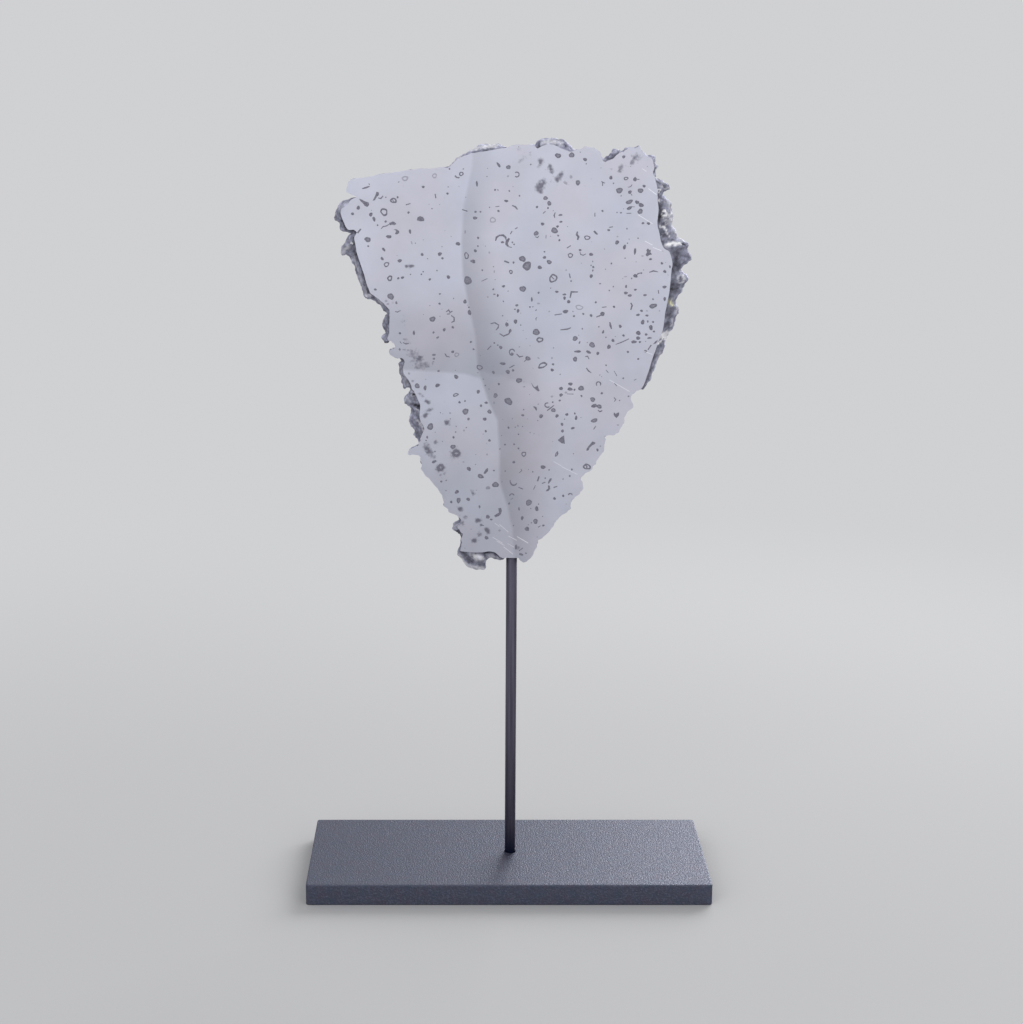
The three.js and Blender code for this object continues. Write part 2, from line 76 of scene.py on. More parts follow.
# Filled inclusions of the polished face, as drawn: (x, y, radius), or (x, y, half width, half height,
# and if it leans, the degrees that it is turned clockwise)
SPOTS = [
    (526.5, 265.4, 4.6, 4.2), (522, 258.4, 3.3, 3), (467.3, 280, 4.2, 3.9), (508, 400.8, 4.1, 3.4, 20),
    (535.7, 331.6, 3.7, 3.1, -25), (554, 230, 3.3, 3), (522.3, 288.4, 3.1), (432, 318.6, 3.5, 2.3, -15),
    (465, 411, 2.7, 3.5, 25), (495, 484.2, 3.4, 2.7, 20), (480.1, 475.8, 3.1, 2.1, 10),
    (485.6, 470.6, 1.5, 3.1, 35), (528.3, 502.1, 2.9, 3.2), (652.6, 305.5, 3.7, 2.5, -10),
    (618.9, 190, 3.1), (640, 190.1, 3.2, 2.1), (628.8, 201.4, 3.6, 2.1, -30), (636.6, 201.7, 2.3, 1.7, 40),
    (628.9, 207.6, 2.8, 1.6, -20), (640.6, 204.6, 2.7, 2), (639.7, 210.9, 2.7, 2.6), (390.2, 296, 3.2),
    (593.8, 420, 3.2, 2.1, -25), (591.6, 344.4, 2.8), (574.6, 338, 2.7, 2.3), (518.5, 380, 2.9, 2.6),
    (527.4, 358, 2.7, 2.1), (557.6, 155.2, 2.9, 2.6), (429.8, 426.2, 3.2), (452.5, 446.3, 2.5, 2.3),
    (433.7, 461.2, 2.3, 1.5, -20), (352, 213.3, 1.5), (357.8, 207.3, 1.9), (370.3, 214, 1.9),
    (373.5, 218.6, 1.4, 2.6, -25), (385.2, 221, 1.2), (388.3, 236.2, 2.6, 1.8), (367.7, 245.6, 1),
    (409.5, 231, 1.3, 2.2, -15), (408, 212, 1.2), (422.7, 186.4, 1.4), (383.2, 249, 1.3, 2.1, -40),
    (381.7, 258.2, 1.2, 2.2, -35), (399.2, 260.3, 2, 1.8), (421.6, 254, 1.5), (447, 193, 1.2),
    (449, 168.4, 0.9), (457.5, 243.3, 2.2, 1.9), (439.3, 253.5, 2.1, 1.8), (442, 257.8, 1.2),
    (472.8, 260.9, 2.2, 1.8), (447.9, 276.6, 1.8), (374.8, 289, 1.5, 1.1), (464.5, 301.1, 1.9),
    (469, 312, 1.6, 3, -10), (503, 285.8, 1.7, 1.2), (474.5, 217.5, 2.1, 1.7), (475, 211.3, 1.2),
    (480, 211.3, 1), (505.8, 200.5, 2, 1.3), (498, 210.5, 1.2), (498.1, 164.4, 1.3, 2.9, -30),
    (507.9, 166.7, 2.2), (494.6, 189.4, 1), (508.8, 190.4, 0.9), (519, 195.3, 0.9), (476.4, 183.3, 1.1, 2.8),
    (571.2, 154.6, 3, 2.4, 20), (584.6, 159, 2, 1.7), (577.4, 182.2, 2.5), (545, 197.6, 2.1),
    (548.8, 202.9, 2.2), (547.5, 207.5, 1), (536.5, 206.5, 1.2), (560, 214.5, 2, 1), (542, 223.5, 1.7),
    (557, 226, 1.3), (535.7, 232.9, 2.4), (548.7, 261.6, 2.5, 2.1), (539.2, 266.9, 2), (544, 256.9, 1.9, 1.3), (544, 251.3, 0.9), (513, 262, 1.1), (502, 241.8, 1.6, 1.2), (511.9, 241.9, 0.9),
    (613, 182.8, 0.8), (602, 210.5, 1.1), (610.4, 177.2, 1.8), (634.5, 178.8, 2), (643.6, 185.6, 1.5),
    (629.4, 191.6, 1.9, 1.8), (642.5, 222.7, 1.4, 1.2), (648, 223, 1.7, 1.4), (623.2, 156.3, 1.6),
    (616.6, 241.9, 2.2, 1.9, -25), (624, 246.6, 1.5, 2.5, 25),
    (634.5, 250.8, 1.2, 3.4, 10), (590.6, 253.9, 2.3, 1.4), (661.4, 262.8, 1.4, 1.2), (669.4, 266.2, 1, 1.5),
    (664.3, 271, 1.6), (640.8, 272.6, 1.1, 0.8), (634.9, 275.4, 2.2, 1.8), (664, 286.5, 2, 1.5),
    (650, 258.7, 1.7, 1), (664.2, 298.5, 1.2, 2.3), (625.6, 286, 1.1, 1.5), (634.8, 289.2, 1.4, 1.1),
    (625.3, 292.5, 2, 1.4, -15), (629.3, 295, 1.9, 1.4), (644.5, 294.7, 1.8, 1.1), (652.5, 298.7, 0.9),
    (613.5, 306.3, 1.2), (641, 310.3, 1.5, 1.2), (637.5, 314.4, 1.9, 1.2), (646.5, 315, 1.5, 1.1),
    (642.2, 321.7, 1.9, 2.4), (647.3, 321, 0.9, 1.2), (652.6, 321.5, 1.3, 0.9), (650.4, 327.1, 2, 2.5),
    (653.4, 331, 1.1), (565, 311.1, 2.6, 1.9), (602, 313.4, 2.4, 2), (506.4, 324, 1.9), (515, 321, 2),
    (619.7, 325.8, 1.6), (637.8, 332.5, 2.5, 2), (645.6, 334, 1.3), (623, 335, 1.2), (649, 337.5, 2.3, 0.9),
    (633.4, 341.4, 2.8, 1.5, -10), (637.6, 337.6, 2.3, 1.6), (639.4, 341.5, 1.3, 1), (612.5, 340, 1.6), (608.4, 346.3, 1.8, 2.3),
    (574.6, 358.7, 2.3), (577.2, 351, 3.2, 1.3), (597.3, 352.9, 1.6), (492.9, 371.9, 1.3, 1.7, -30), (627.4, 351.4, 1.2),
    (645, 350.8, 1.5), (637.7, 358.5, 1.2, 0.9), (502.3, 363.1, 2.9, 1.4), (507.3, 371.4, 2.2, 1.9),
    (512.5, 369.9, 1.4, 1.1), (551.7, 369.5, 1.6), (552.6, 363.8, 1.2), (569.9, 383.5, 2.1, 1.7),
    (569.5, 388.6, 2.4, 1.8), (574, 389.2, 1.1), (580.6, 387.8, 2.7), (560.5, 388, 1.8), (560.5, 394.5, 1.7),
    (581, 395.5, 1.1), (601.3, 392.8, 1.2), (592.2, 399, 2.7, 2.2), (593.6, 405.3, 2.7, 2, -25),
    (598.7, 406, 2.7, 2.1), (566.3, 414, 1.5), (574.3, 413, 1), (575.6, 417.4, 1.3, 2.2), (556.5, 415.4, 1.7),
    (540.6, 415.7, 2), (552.9, 409.7, 2.2), (561.5, 423.8, 1.4, 1.6), (562, 430.5, 1.5),
    (572.2, 427.7, 1.9, 1.2, -20), (413.4, 332.4, 1.3, 2.1), (443.7, 329.3, 1.4, 1.7), (452.3, 326.8, 1.3),
    (437.2, 337, 1.5, 1, -40), (455.7, 376.3, 2, 2.3, -20), (437, 384.9, 2.3, 1.9, -20),
    (416.7, 385.4, 2.6, 2.4), (424.6, 387.4, 1.6, 2.4), (438.1, 370.5, 1.3, 1), (477.8, 391.2, 1.8),
    (485.7, 402.2, 1.6, 1.3), (480.5, 405.2, 1.3), (489, 411.2, 2.1), (468, 418.5, 1.5, 1.2, -40),
    (484.2, 418.6, 1.8), (495, 395, 2.2), (468.4, 468.4, 1.9, 2.3, -20), (456.4, 491.4, 2.2, 1.7, -20),
    (458.1, 499.9, 2.2, 2.6, 20), (450.8, 501.5, 1.3), (467.7, 498.8, 1.9, 1.6), (513.3, 461.7, 1.5, 1.3),
    (542.5, 466.6, 2.7, 1.8, 20), (548.6, 469.4, 0.8), (487.3, 516.3, 1.8, 2.1), (490.8, 519, 1.3, 1),
    (486, 537.3, 1.9), (536.2, 508.2, 1.9, 2.4), (521.7, 517.6, 1.4, 2.1), (535, 520.8, 2.4),
    (526.5, 528.4, 2.5, 2), (542.8, 525, 1.4, 1), (515.5, 546.6, 1.2, 2.5, 10), (520.6, 553.9, 2.4, 1.1, 15),
    (479, 506.3, 1, 1.6), (453, 436.8, 1.2), (485.3, 430.7, 1.2), (489, 440, 1.5, 1.2), (440.8, 481, 1.1),
    (597, 449.4, 1.1, 1.6), (554, 498, 1.4), (562.7, 495.3, 1.2), (569.3, 475.5, 1), (571.4, 469, 1),
    (508.6, 503, 0.9, 1.2), (518.5, 508.3, 0.9, 1.7), (459, 401.8, 1.2), (464.5, 400.5, 0.9),
    (426.7, 436.7, 1, 1.4), (399.4, 332.8, 1.2), (433, 332, 1.1), (402, 277.1, 1.7, 1.3), (397.8, 277.8, 1.2),
    (429.3, 278.9, 1.2), (395.9, 302.3, 1.1, 1.5), (422.7, 271.2, 0.8), (420.9, 273.8, 0.9),
    (470.8, 260.6, 1.1), (399.2, 348.9, 0.9, 1.4), (518, 448, 1), (513.7, 443.8, 1), (504.5, 444.1, 1),
    (493.4, 470, 0.9), (504.7, 470.5, 0.8), (525.5, 552.6, 0.8), (433.4, 354.4, 2, 1), (433.4, 358.2, 1.4, 1),
    (452.2, 351.3, 1.7, 1.2, -30), (393.3, 200.3, 1), (397.1, 196.8, 1.1), (571.8, 499, 0.8, 1.5),
    (538, 503.6, 0.7), (367.2, 239.1, 3, 2.7), (414, 411.8, 1, 1.3), (579.6, 249.6, 1.6, 1), (610.9, 263, 0.9), (592.8, 266.6, 1.1),
    (592.3, 270, 0.8, 1.1), (590.7, 275.6, 1.7, 1.9), (599.6, 283.2, 1.1, 0.7), (608.8, 290, 0.8), (595.3, 301.8, 1.1),
    (563.9, 294, 1.8, 1.1), (564, 297.6, 1.4, 1.7), (568.2, 301.2, 1.9, 1.6), (557.7, 235.1, 1), (558.9, 239.7, 1.1),
    (570.6, 280.6, 0.9), (492.8, 288.8, 1), (497.3, 295, 1.1, 1.4), (531.3, 299, 1.1, 2.1), (538.1, 292.2, 1.1),
    (529.4, 306.5, 0.9), (556.3, 291.3, 1.7, 1.2), (573.5, 315.6, 1.1), (590.6, 315, 1.4), (560.4, 221.3, 1.6, 1),
    (620.4, 212.2, 1.2, 0.7), (616.5, 212, 0.7), (608.2, 229.6, 1.4, 1.2), (637.6, 237.7, 0.8), (582.8, 313.4, 1.1), (602.6, 331.4, 1.1, 1.7, 20),
    (598.4, 326.3, 0.8), (581.8, 328.3, 0.8), (579, 342, 0.8, 1.4, 30), (622.8, 377.8, 0.9), (605.6, 364.8, 0.9),
    (522.3, 414.8, 1.5, 1.1), (493.8, 342.5, 0.9), (497.3, 344.6, 0.8), (500.2, 346.9, 1.7), (470.4, 341.5, 1.3, 1),
    (473, 348.7, 1), (498.3, 383.5, 1.2), (508, 427.1, 1, 1.3), (518, 433.8, 0.8), (477.6, 237.4, 1.1, 1.4),
    (477.4, 245.6, 0.9), (474.8, 250.3, 1.3, 1.8, -30), (481.8, 269.7, 0.9), (468.4, 306.8, 0.9), (439.4, 293.4, 1.1, 0.8),
    (439.1, 303.2, 1.3, 1), (516.3, 304.8, 1.6, 1.1), (517.5, 310.4, 1.3, 2), (514.4, 308.8, 0.8), (493.8, 293.8, 1.2, 0.8), (436.5, 270.1, 0.8),
    (511.6, 353.4, 1.8, 1.3), (509.6, 330.4, 2, 1.4, -50), (559.2, 400, 1.1), (552.2, 401.7, 1, 0.8),
]

# Inclusions that show only faintly, in the same form
FAINT_SPOTS = [
    (507.5, 175.7, 1.1), (570.5, 176.4, 1.6), (565, 182.4, 2.2, 1.4, 40), (642, 255.5, 1.2, 0.8),
    (404, 338.8, 1.8, 1), (403.6, 349.2, 1.6, 0.8), (407.6, 349.6, 1.5, 0.8), (411.4, 350.6, 1.4, 0.8),
    (408.5, 373, 1.2), (412.2, 380.6, 1.6, 1.1), (449.6, 412.6, 1), (463.5, 430, 1), (463, 461.5, 1.1, 0.7),
    (617.4, 424.5, 1.2, 0.8), (562.6, 478.5, 1), (600, 445.6, 0.9), (604.3, 436.4, 1.8), (551.4, 396, 1.2),
    (565.5, 392, 1.2), (387.4, 303.5, 1.6, 1), (385.5, 300.5, 1.3), (486.5, 454, 1),
    (488.8, 252, 0.9, 1.2), (493.8, 271, 0.7, 1.6), (487.3, 296.5, 0.9), (538, 303, 1.4, 1), (565.6, 269.6, 0.9),
    (617, 236.1, 1, 0.8), (628.6, 238.7, 0.8), (625, 276.2, 1.6, 0.6), (646.5, 310.4, 1, 0.8), (659, 310.3, 0.8),
    (487.5, 487.4, 2.2, 1.8), (499, 530, 1.2), (440, 474.6, 1.4, 1.1), (464.7, 231.5, 0.9, 1.7),
    (411.2, 242.2, 0.8, 1.7, -20), (538, 357.6, 1.3, 0.8, 30), (551.4, 357.6, 0.9, 1.2),
    (523.6, 386.2, 1.5, 0.7, -10), (548.7, 311, 0.9), (432.8, 361.2, 1.2, 0.8), (517.5, 425.3, 1),
    (493.6, 402.3, 0.7, 1.5), (488.5, 388.5, 0.8), (537.8, 403.6, 0.8),
]

# Inclusions with an outline of their own, as drawn
SHAPES = [
    [(358.4, 198), (361.6, 199.2), (364.6, 200.8), (368, 201.8), (368.8, 204.4), (366.8, 206.6), (364.2, 205.4),
     (362.4, 202.8), (359.8, 200.6)],
    [(376, 191.2), (378.6, 192), (378.4, 194.6), (376.4, 196.4), (374.4, 199.8), (372, 200.4), (374.6, 195.4)],
    [(416.2, 219.8), (417, 216.8), (419.6, 215.6), (422.6, 216.6), (423.8, 218.8), (423.6, 220.6), (419.8, 220.9)],
    [(388.6, 222.4), (391, 221.6), (392.4, 220.8), (394.4, 221.8), (395.8, 223.4), (394, 224.8), (391.6, 224.2),
     (389.4, 224.8)],
    [(394.4, 233.6), (395.6, 230.4), (393, 228.9), (395.8, 228.7), (398.6, 230.4), (398.8, 232.6), (396.2, 234)],
    [(557.2, 439.6), (560.4, 436.8), (563.6, 434.8), (564, 439), (564.4, 443.4), (560.8, 442.6)],
    [(613, 413.6), (613.6, 411.8), (615.2, 413.4), (616.8, 412.2), (618.8, 411.8), (618.4, 415), (616, 417.6),
     (614, 416)],
    [(645, 254.4), (646.4, 251.6), (645.8, 249.6), (647.4, 247.8), (648.6, 249.4), (650.4, 249.2), (650, 252),
     (651.6, 254), (648.6, 254.6), (646.6, 256)],
    [(592, 440.8), (595, 442), (594.6, 443.6), (591.8, 444.8), (589.4, 447), (587.8, 450), (585.8, 450.2),
     (586.2, 448), (588.6, 444.8)],
    [(497.8, 507.6), (500.6, 507.4), (501.4, 510), (500.6, 513.4), (498, 515.8), (494.8, 516.8), (493.6, 515),
     (496.2, 513.4), (498.4, 512)],
    [(549.4, 478), (551.4, 477.6), (550.6, 480.4), (548.8, 482.6), (547.4, 483.6), (547.8, 481)],
    [(547.4, 484.6), (549.2, 485.2), (549.8, 488.4), (548, 490.4), (545.4, 491), (545.6, 489.6), (547.6, 488.2)],
    [(652.4, 343.8), (654.8, 340.8), (657.2, 339.4), (657, 341), (655, 343.2)],
    [(530.6, 382), (532, 384), (533.4, 386.2), (535, 386.4), (537.4, 384.6), (537.6, 386.6), (539.2, 390.4),
     (537.6, 391), (534.4, 388.4), (532.2, 386.2)],
]

# Ring-shaped inclusions: (x, y, half width, half height, lean), and where the ring is open, also the
# degrees where it starts and ends, turning clockwise from the right
RINGS = [
    (393, 200, 3.3, 2.9, 30), (383.5, 211.5, 4.3, 3.4, 35),
    (460.8, 173.4, 2.2, 2.4, 0), (457.6, 174.4, 3, 2.8, 0, 60, 170), (516.3, 174, 2.3, 2.4, 0, -140, 140),
    (386, 264, 2.8, 2.5, 0), (389.3, 277.8, 2.8, 2.8, 0), (466, 255.2, 2.3, 3.6, 0), (510.4, 271.4, 2, 2, 0),
    (552.7, 277.8, 4.3, 4.2, 0), (586.7, 237.2, 2.9, 2.5, 0), (569.9, 254.9, 2.9, 2.3, -10),
    (539.3, 339.3, 3.5, 2.8, -25), (542.1, 364.8, 4.9, 2.8, -20), (598, 383.5, 2.2, 2.2, 0, -230, 40),
    (479.1, 367, 3, 2.7, 0), (455.2, 394.4, 2.8, 1.8, -25), (523.3, 453.6, 2.7, 2.4, 20),
    (556.2, 453.6, 1.4, 2.8, 30), (586.4, 466.2, 3.8, 3.2, 0), (585.4, 466.4, 1.1, 1.2, 0, -120, 70),
    (625.5, 178, 2.3, 1.9, 0), (511.5, 351.7, 2.6, 3, 0, 60, 350), (513.2, 480.4, 3.6, 4.4, 0, 30, 190),
    (547, 404.6, 2.6, 2.2, 0, 40, 290), (511.4, 495.2, 2.2, 1.8, 0, 170, 350), (569.8, 495, 2, 2, 0, 190, 350),
    (440.4, 467, 2.9, 2.4, -20), (455.6, 453, 3.2, 2.2, -15),
]
RING_WIDTH = 1.2
THICK_RING_WIDTH = 1.6  # of rings that reach more than 2.7 units from their middle all round

# Rings that show only faintly, in the same form
FAINT_RINGS = [
    (404.5, 178, 3.1, 2.9, 0), (434, 175.3, 2.6, 2.4, 0), (492.3, 219.5, 3.4, 2.6, 0), (578.8, 306.9, 3.8, 2.6, 0),
    (456.2, 354.2, 2.4, 2.4, 0),
]

# Thin inclusions: the width and the points of a line, as drawn
LINES = [
    (1.8, [(495, 240.4), (496, 236.8), (499, 234.9), (502.6, 234.7), (505.2, 237), (505.6, 239.4)]),
    (2.8, [(508.8, 237.8), (506.6, 240.8), (506, 243.6), (507.6, 245.8)]), (1.3, [(507.6, 246.1), (511.4, 247)]),
    (1.5, [(551, 276.2), (553.8, 278.9)]), (1.2, [(391.6, 199), (394, 201.6)]), (1.1, [(545.6, 234.6), (545.4, 238)]),
    (1.1, [(534.6, 236.2), (537, 237), (538.6, 235.4)]), (2.4, [(593.4, 230.4), (595, 232.2), (597, 234)]),
    (1.2, [(636, 178.8), (639, 178.9)]), (1.1, [(627.4, 186.8), (630.2, 186.2), (631.6, 184)]),
    (1.2, [(630.6, 193.4), (631.6, 195.2)]), (1.1, [(631.4, 206.2), (634.4, 206.4)]),
    (1.2, [(626, 212.8), (630.8, 212.8)]), (1.3, [(636.4, 274.6), (637.4, 273.2), (640, 272.4)]),
    (1.7, [(361.6, 188.2), (366, 187), (369.2, 185.8)]), (1.3, [(368.4, 182.8), (369, 184.6)]),
    (1.5, [(377.6, 197.4), (380.4, 198), (382.6, 195.4)]), (1.5, [(405.4, 204.4), (410, 203)]),
    (1.1, [(380.6, 228.4), (382.4, 226.2), (386, 225.4), (389, 223.6)]), (1.7, [(461.6, 209), (467, 210.8)]),
    (1.8, [(511.5, 205), (514.8, 206.2), (517, 209)]), (1.1, [(494.8, 206.3), (499, 205.7)]),
    (1.2, [(554.8, 212), (553.6, 214.8), (554.4, 217.6)]), (1.5, [(594.4, 212.2), (594.4, 216)]),
    (2.2, [(577, 231), (576.2, 234), (578, 236.4), (577, 239.5)]), (1.9, [(566.4, 247.6), (570.4, 245)]),
    (2.6, [(503.8, 260.5), (508.6, 262.3)]), (1.1, [(481, 280.8), (487, 278)]), (1.8, [(568.8, 273), (569.8, 277.6)]),
    (1.9, [(577.4, 291.5), (570.8, 291.4), (569.6, 297.4)]),
    (1.4, [(648.8, 271.8), (653, 270.4), (657.6, 271.4)]), (1.9, [(554, 314.5), (561.4, 313.4)]),
    (1.6, [(560, 329.4), (567, 328.6), (570.4, 327.2)]), (1.5, [(450.6, 315), (453.6, 317), (453.6, 320.6), (450.8, 322)]),
    (1.7, [(445.6, 311.4), (448.2, 309.4), (449.6, 312), (452, 310.6)]), (1.5, [(446.4, 313.6), (449.6, 313.4)]),
    (1.4, [(490, 323.2), (494.4, 322.2), (498.2, 324.6), (497.6, 327.2), (495.4, 329.6)]),
    (1.4, [(499, 333), (503, 335.6), (508, 333.6), (511, 329.6)]),
    (1.6, [(516, 353.4), (519, 356.4), (522.6, 355.6)]), (1.4, [(526, 359), (523.6, 361.2)]),
    (1.3, [(508.8, 367.4), (511.4, 366), (514, 364.6)]),
    (1.5, [(585.8, 367.4), (588, 370.4), (590.8, 372.4)]), (1.4, [(584.6, 356.2), (587, 355.6), (588.6, 358.6)]),
    (2.6, [(585.8, 350.4), (588, 351.6), (590.4, 352.6)]),
    (1.5, [(597.4, 409.6), (599.4, 411.2), (602, 410)]), (1.3, [(613.4, 397), (615.4, 399), (613.8, 401)]),
    (1.2, [(615, 344), (621.5, 341.6), (628.5, 338.3)]), (1.1, [(613.5, 370.5), (616.5, 375.5)]),
    (1.2, [(613.8, 382.5), (616.3, 385.6)]), (2.2, [(538.6, 475.8), (537, 480.8)]),
    (1.6, [(541.4, 483), (545, 481.6)]), (1.6, [(553, 487), (556.8, 485.8)]), (1.2, [(535, 484.8), (533, 489)]),
    (1.9, [(630.2, 302.3), (631.7, 305), (630.2, 309.4)]), (1.5, [(444.4, 353), (446, 355.8), (449.4, 356.6)]),
    (1.8, [(518, 486.8), (522.6, 488.6)]), (1.3, [(593, 429), (595.3, 425.6)]),
    (1.2, [(394.5, 311), (397, 311.6), (400, 310)]), (1.4, [(602, 313.4), (599, 315.4), (595.7, 316.6)]),
    (1.1, [(566.4, 393.4), (573, 393.6)]), (1.3, [(402.4, 342), (405.4, 343.4), (408.4, 343)]),
    (1.2, [(399.4, 341), (401, 343.2)]), (1.9, [(647.4, 349.4), (650.8, 344.4)]), (1.2, [(605.5, 369.5), (608, 372.4)]),
    (2.3, [(357, 232.6), (360.4, 228.4)]), (1.1, [(537.6, 526.8), (540, 525.2)]),
    (1, [(518.6, 472.4), (521.4, 470), (520.4, 468.4)]), (1.5, [(657.8, 289.6), (658.2, 293.2)]),
    (1.1, [(633.4, 379.8), (636, 378.6)]), (1.4, [(518.4, 550.4), (522.4, 547.4)]), (1, [(510, 499), (512.4, 497.6)]),
    (1.1, [(480, 524.8), (483.4, 525)]), (1.5, [(600.8, 181), (604.4, 182.6)]), (1.5, [(602.2, 182), (602, 185.4)]),
    (1.3, [(546.6, 410.2), (550, 407.6), (553.6, 404.8)]), (1.6, [(434.6, 193.4), (435.4, 197.8)]),
    (1.7, [(608.6, 226.9), (612.4, 226.3)]), (1.2, [(579.4, 251.2), (580, 253.8), (582.6, 254.8), (585.4, 253.4)]),
    (1.6, [(601.4, 306.9), (606, 306.3)]), (1.9, [(609.3, 321.6), (610, 325), (611, 328.4)]),
    (2.1, [(533, 406), (535.2, 407.4), (536, 410)]), (1.6, [(486.8, 349.2), (490.8, 345.2)]),
    (1.7, [(509.8, 233.6), (511.6, 230.6)]), (1.6, [(514.4, 228.6), (517, 227)]), (1.1, [(536.6, 316.8), (535.4, 318), (535.6, 320)]),
    (1.5, [(542.4, 213), (545, 210.8)]),
]

# Stains and shallow worn places on the face: (radius, strength, the points of its middle line), as drawn
STAINS = [
    (4, 0.68, [(542.5, 182), (537.6, 187)]), (2.6, 0.7, [(538.6, 188), (540, 191)]), (3, 0.8, [(540.4, 160.8)]),
    (1.8, 0.4, [(538, 166.4)]), (2.4, 0.8, [(549.4, 165.6), (551.4, 171)]), (2.4, 0.8, [(561.2, 173), (556.6, 179)]),
    (2.2, 0.35, [(564.6, 181), (566.6, 184)]), (3.6, 0.7, [(635.4, 156.4)]), (2.4, 0.6, [(631, 162.4)]),
    (2.2, 0.65, [(621, 166), (620, 168)]), (1.8, 0.7, [(618.6, 170.8)]), (1.2, 0.5, [(611, 168.8)]), (1.5, 0.75, [(405.6, 265.7), (412.6, 265.4)]),
    (4.6, 0.5, [(410.6, 353.6), (415, 358)]), (2.2, 0.85, [(419.8, 358)]), (2.4, 0.55, [(416, 366.4), (420, 365.4)]),
    (2.6, 0.5, [(424, 363.4)]), (2.6, 0.35, [(425, 368), (431, 364)]), (1.8, 0.7, [(425.5, 400.6), (427.4, 401.4)]),
    (2.2, 0.25, [(429, 402.6)]), (1.7, 0.65, [(427, 410), (431.4, 408.6)]), (1.8, 0.85, [(424.2, 415.6), (426, 414)]),
    (3.2, 0.8, [(426, 446.4), (428.4, 451)]), (2, 0.5, [(431.4, 453.6), (433.6, 457)]), (1.9, 0.7, [(435, 442)]),
    (1.3, 0.9, [(452, 452.2), (454, 450.4), (457.4, 450.4), (459, 452.6), (457.2, 455), (453.6, 455.2), (452, 452.2)]),
    (7.5, 0.25, [(455, 452.8)]), (1.2, 0.9, [(437.4, 467), (439, 464.6), (441.8, 464.8), (442.8, 467.4), (441, 469.8), (438.2, 469.4),
     (437.4, 467)]),
    (6, 0.25, [(440, 467)]), (1.8, 0.35, [(436.4, 468.4)]), (2.3, 1, [(446.2, 421.9)]), (1.4, 0.3, [(450, 424.4)]),
    (2.2, 1, [(459.9, 508.8)]), (1.9, 0.7, [(465.4, 516.6)]), (2.6, 0.6, [(461.4, 522.2)]),
    (2.1, 1, [(476.6, 520), (478.6, 520)]), (1.4, 0.7, [(480.6, 524.4)]), (2.2, 0.85, [(486.2, 529), (487.6, 531.4)]),
    (2.2, 0.7, [(478.6, 534)]), (2.1, 1, [(473, 540.2), (474.6, 540)]), (2.2, 0.6, [(471.6, 491), (473, 493)]),
    (1.8, 0.35, [(487.5, 487.4)]), (2.4, 0.3, [(406, 340), (408, 344)]), (2, 0.6, [(518, 547)]),
    (1.6, 0.25, [(392, 302)]), (1.4, 0.3, [(444, 473.6)]), (1.8, 0.3, [(530, 153), (518, 161.5)]),
    (1.6, 0.3, [(604.4, 436.4)]), (2.4, 0.3, [(455, 525), (456, 519)]), (2, 0.3, [(516.2, 147.6), (526, 149.6)]),
    (4, 0.25, [(402.6, 319.6)]), (2.2, 0.35, [(419, 393.4), (423, 396)]),
]

# Scratches on the face, made bright with painted shine: the width and the two ends, as drawn
SCRATCHES = [
    (1.1, [(516.5, 536), (527.6, 542.5)]), (0.8, [(508, 535.6), (516.2, 539.8)]), (0.8, [(499, 524), (508, 531.6)]),
    (0.6, [(494.3, 522.7), (499, 526)]), (0.7, [(491.8, 536.5), (502, 542.6)]), (0.8, [(503, 546.2), (512.4, 553.6)]),
    (0.6, [(496, 540.4), (504, 545)]), (0.6, [(507, 543), (513.6, 546.6)]),
    (0.9, [(647.6, 181.8), (657, 186.6)]), (1, [(647.8, 188), (655.8, 194)]), (0.7, [(650, 184.8), (656.6, 189.4)]),
    (1, [(637.6, 214.2), (652, 223.2)]), (0.9, [(644.4, 240.6), (652, 244.6)]), (0.9, [(652.6, 247), (661, 250.2)]),
    (0.8, [(561, 466), (577, 474)]), (0.7, [(553, 461), (561, 465.4)]), (0.9, [(609, 379.4), (629, 391)]),
    (0.7, [(643.4, 350.8), (652, 354)]), (0.7, [(644, 364.4), (650, 366)]), (0.7, [(641.6, 168), (646, 171)]),
]

# Edges on the polished face, as drawn. Across them the face turns from light to dark in painted shade.
UPRIGHT_EDGE = [
    (472, 140), (472, 165), (463.5, 204), (461, 242), (462.5, 275), (468, 304), (475, 336), (477.5, 368),
    (488, 401), (497, 420), (499, 451), (499, 481), (507, 506), (512, 529), (514, 560),
]
LEVEL_EDGE = [(400, 369), (436, 371), (465, 373.5), (480, 378)]
WEDGE_EDGE = [(478, 371), (542, 389)]

# How dark the painted shade beside the upright edge is, and how far it reaches: (drawn height, darkness, reach)
PAINTED_SHADE = [
    (140, 0.09, 30), (204, 0.15, 34), (242, 0.21, 38), (304, 0.27, 46), (336, 0.3, 60), (368, 0.31, 72),
    (401, 0.27, 72), (451, 0.28, 70), (481, 0.32, 60), (529, 0.3, 46), (560, 0.22, 36),
]
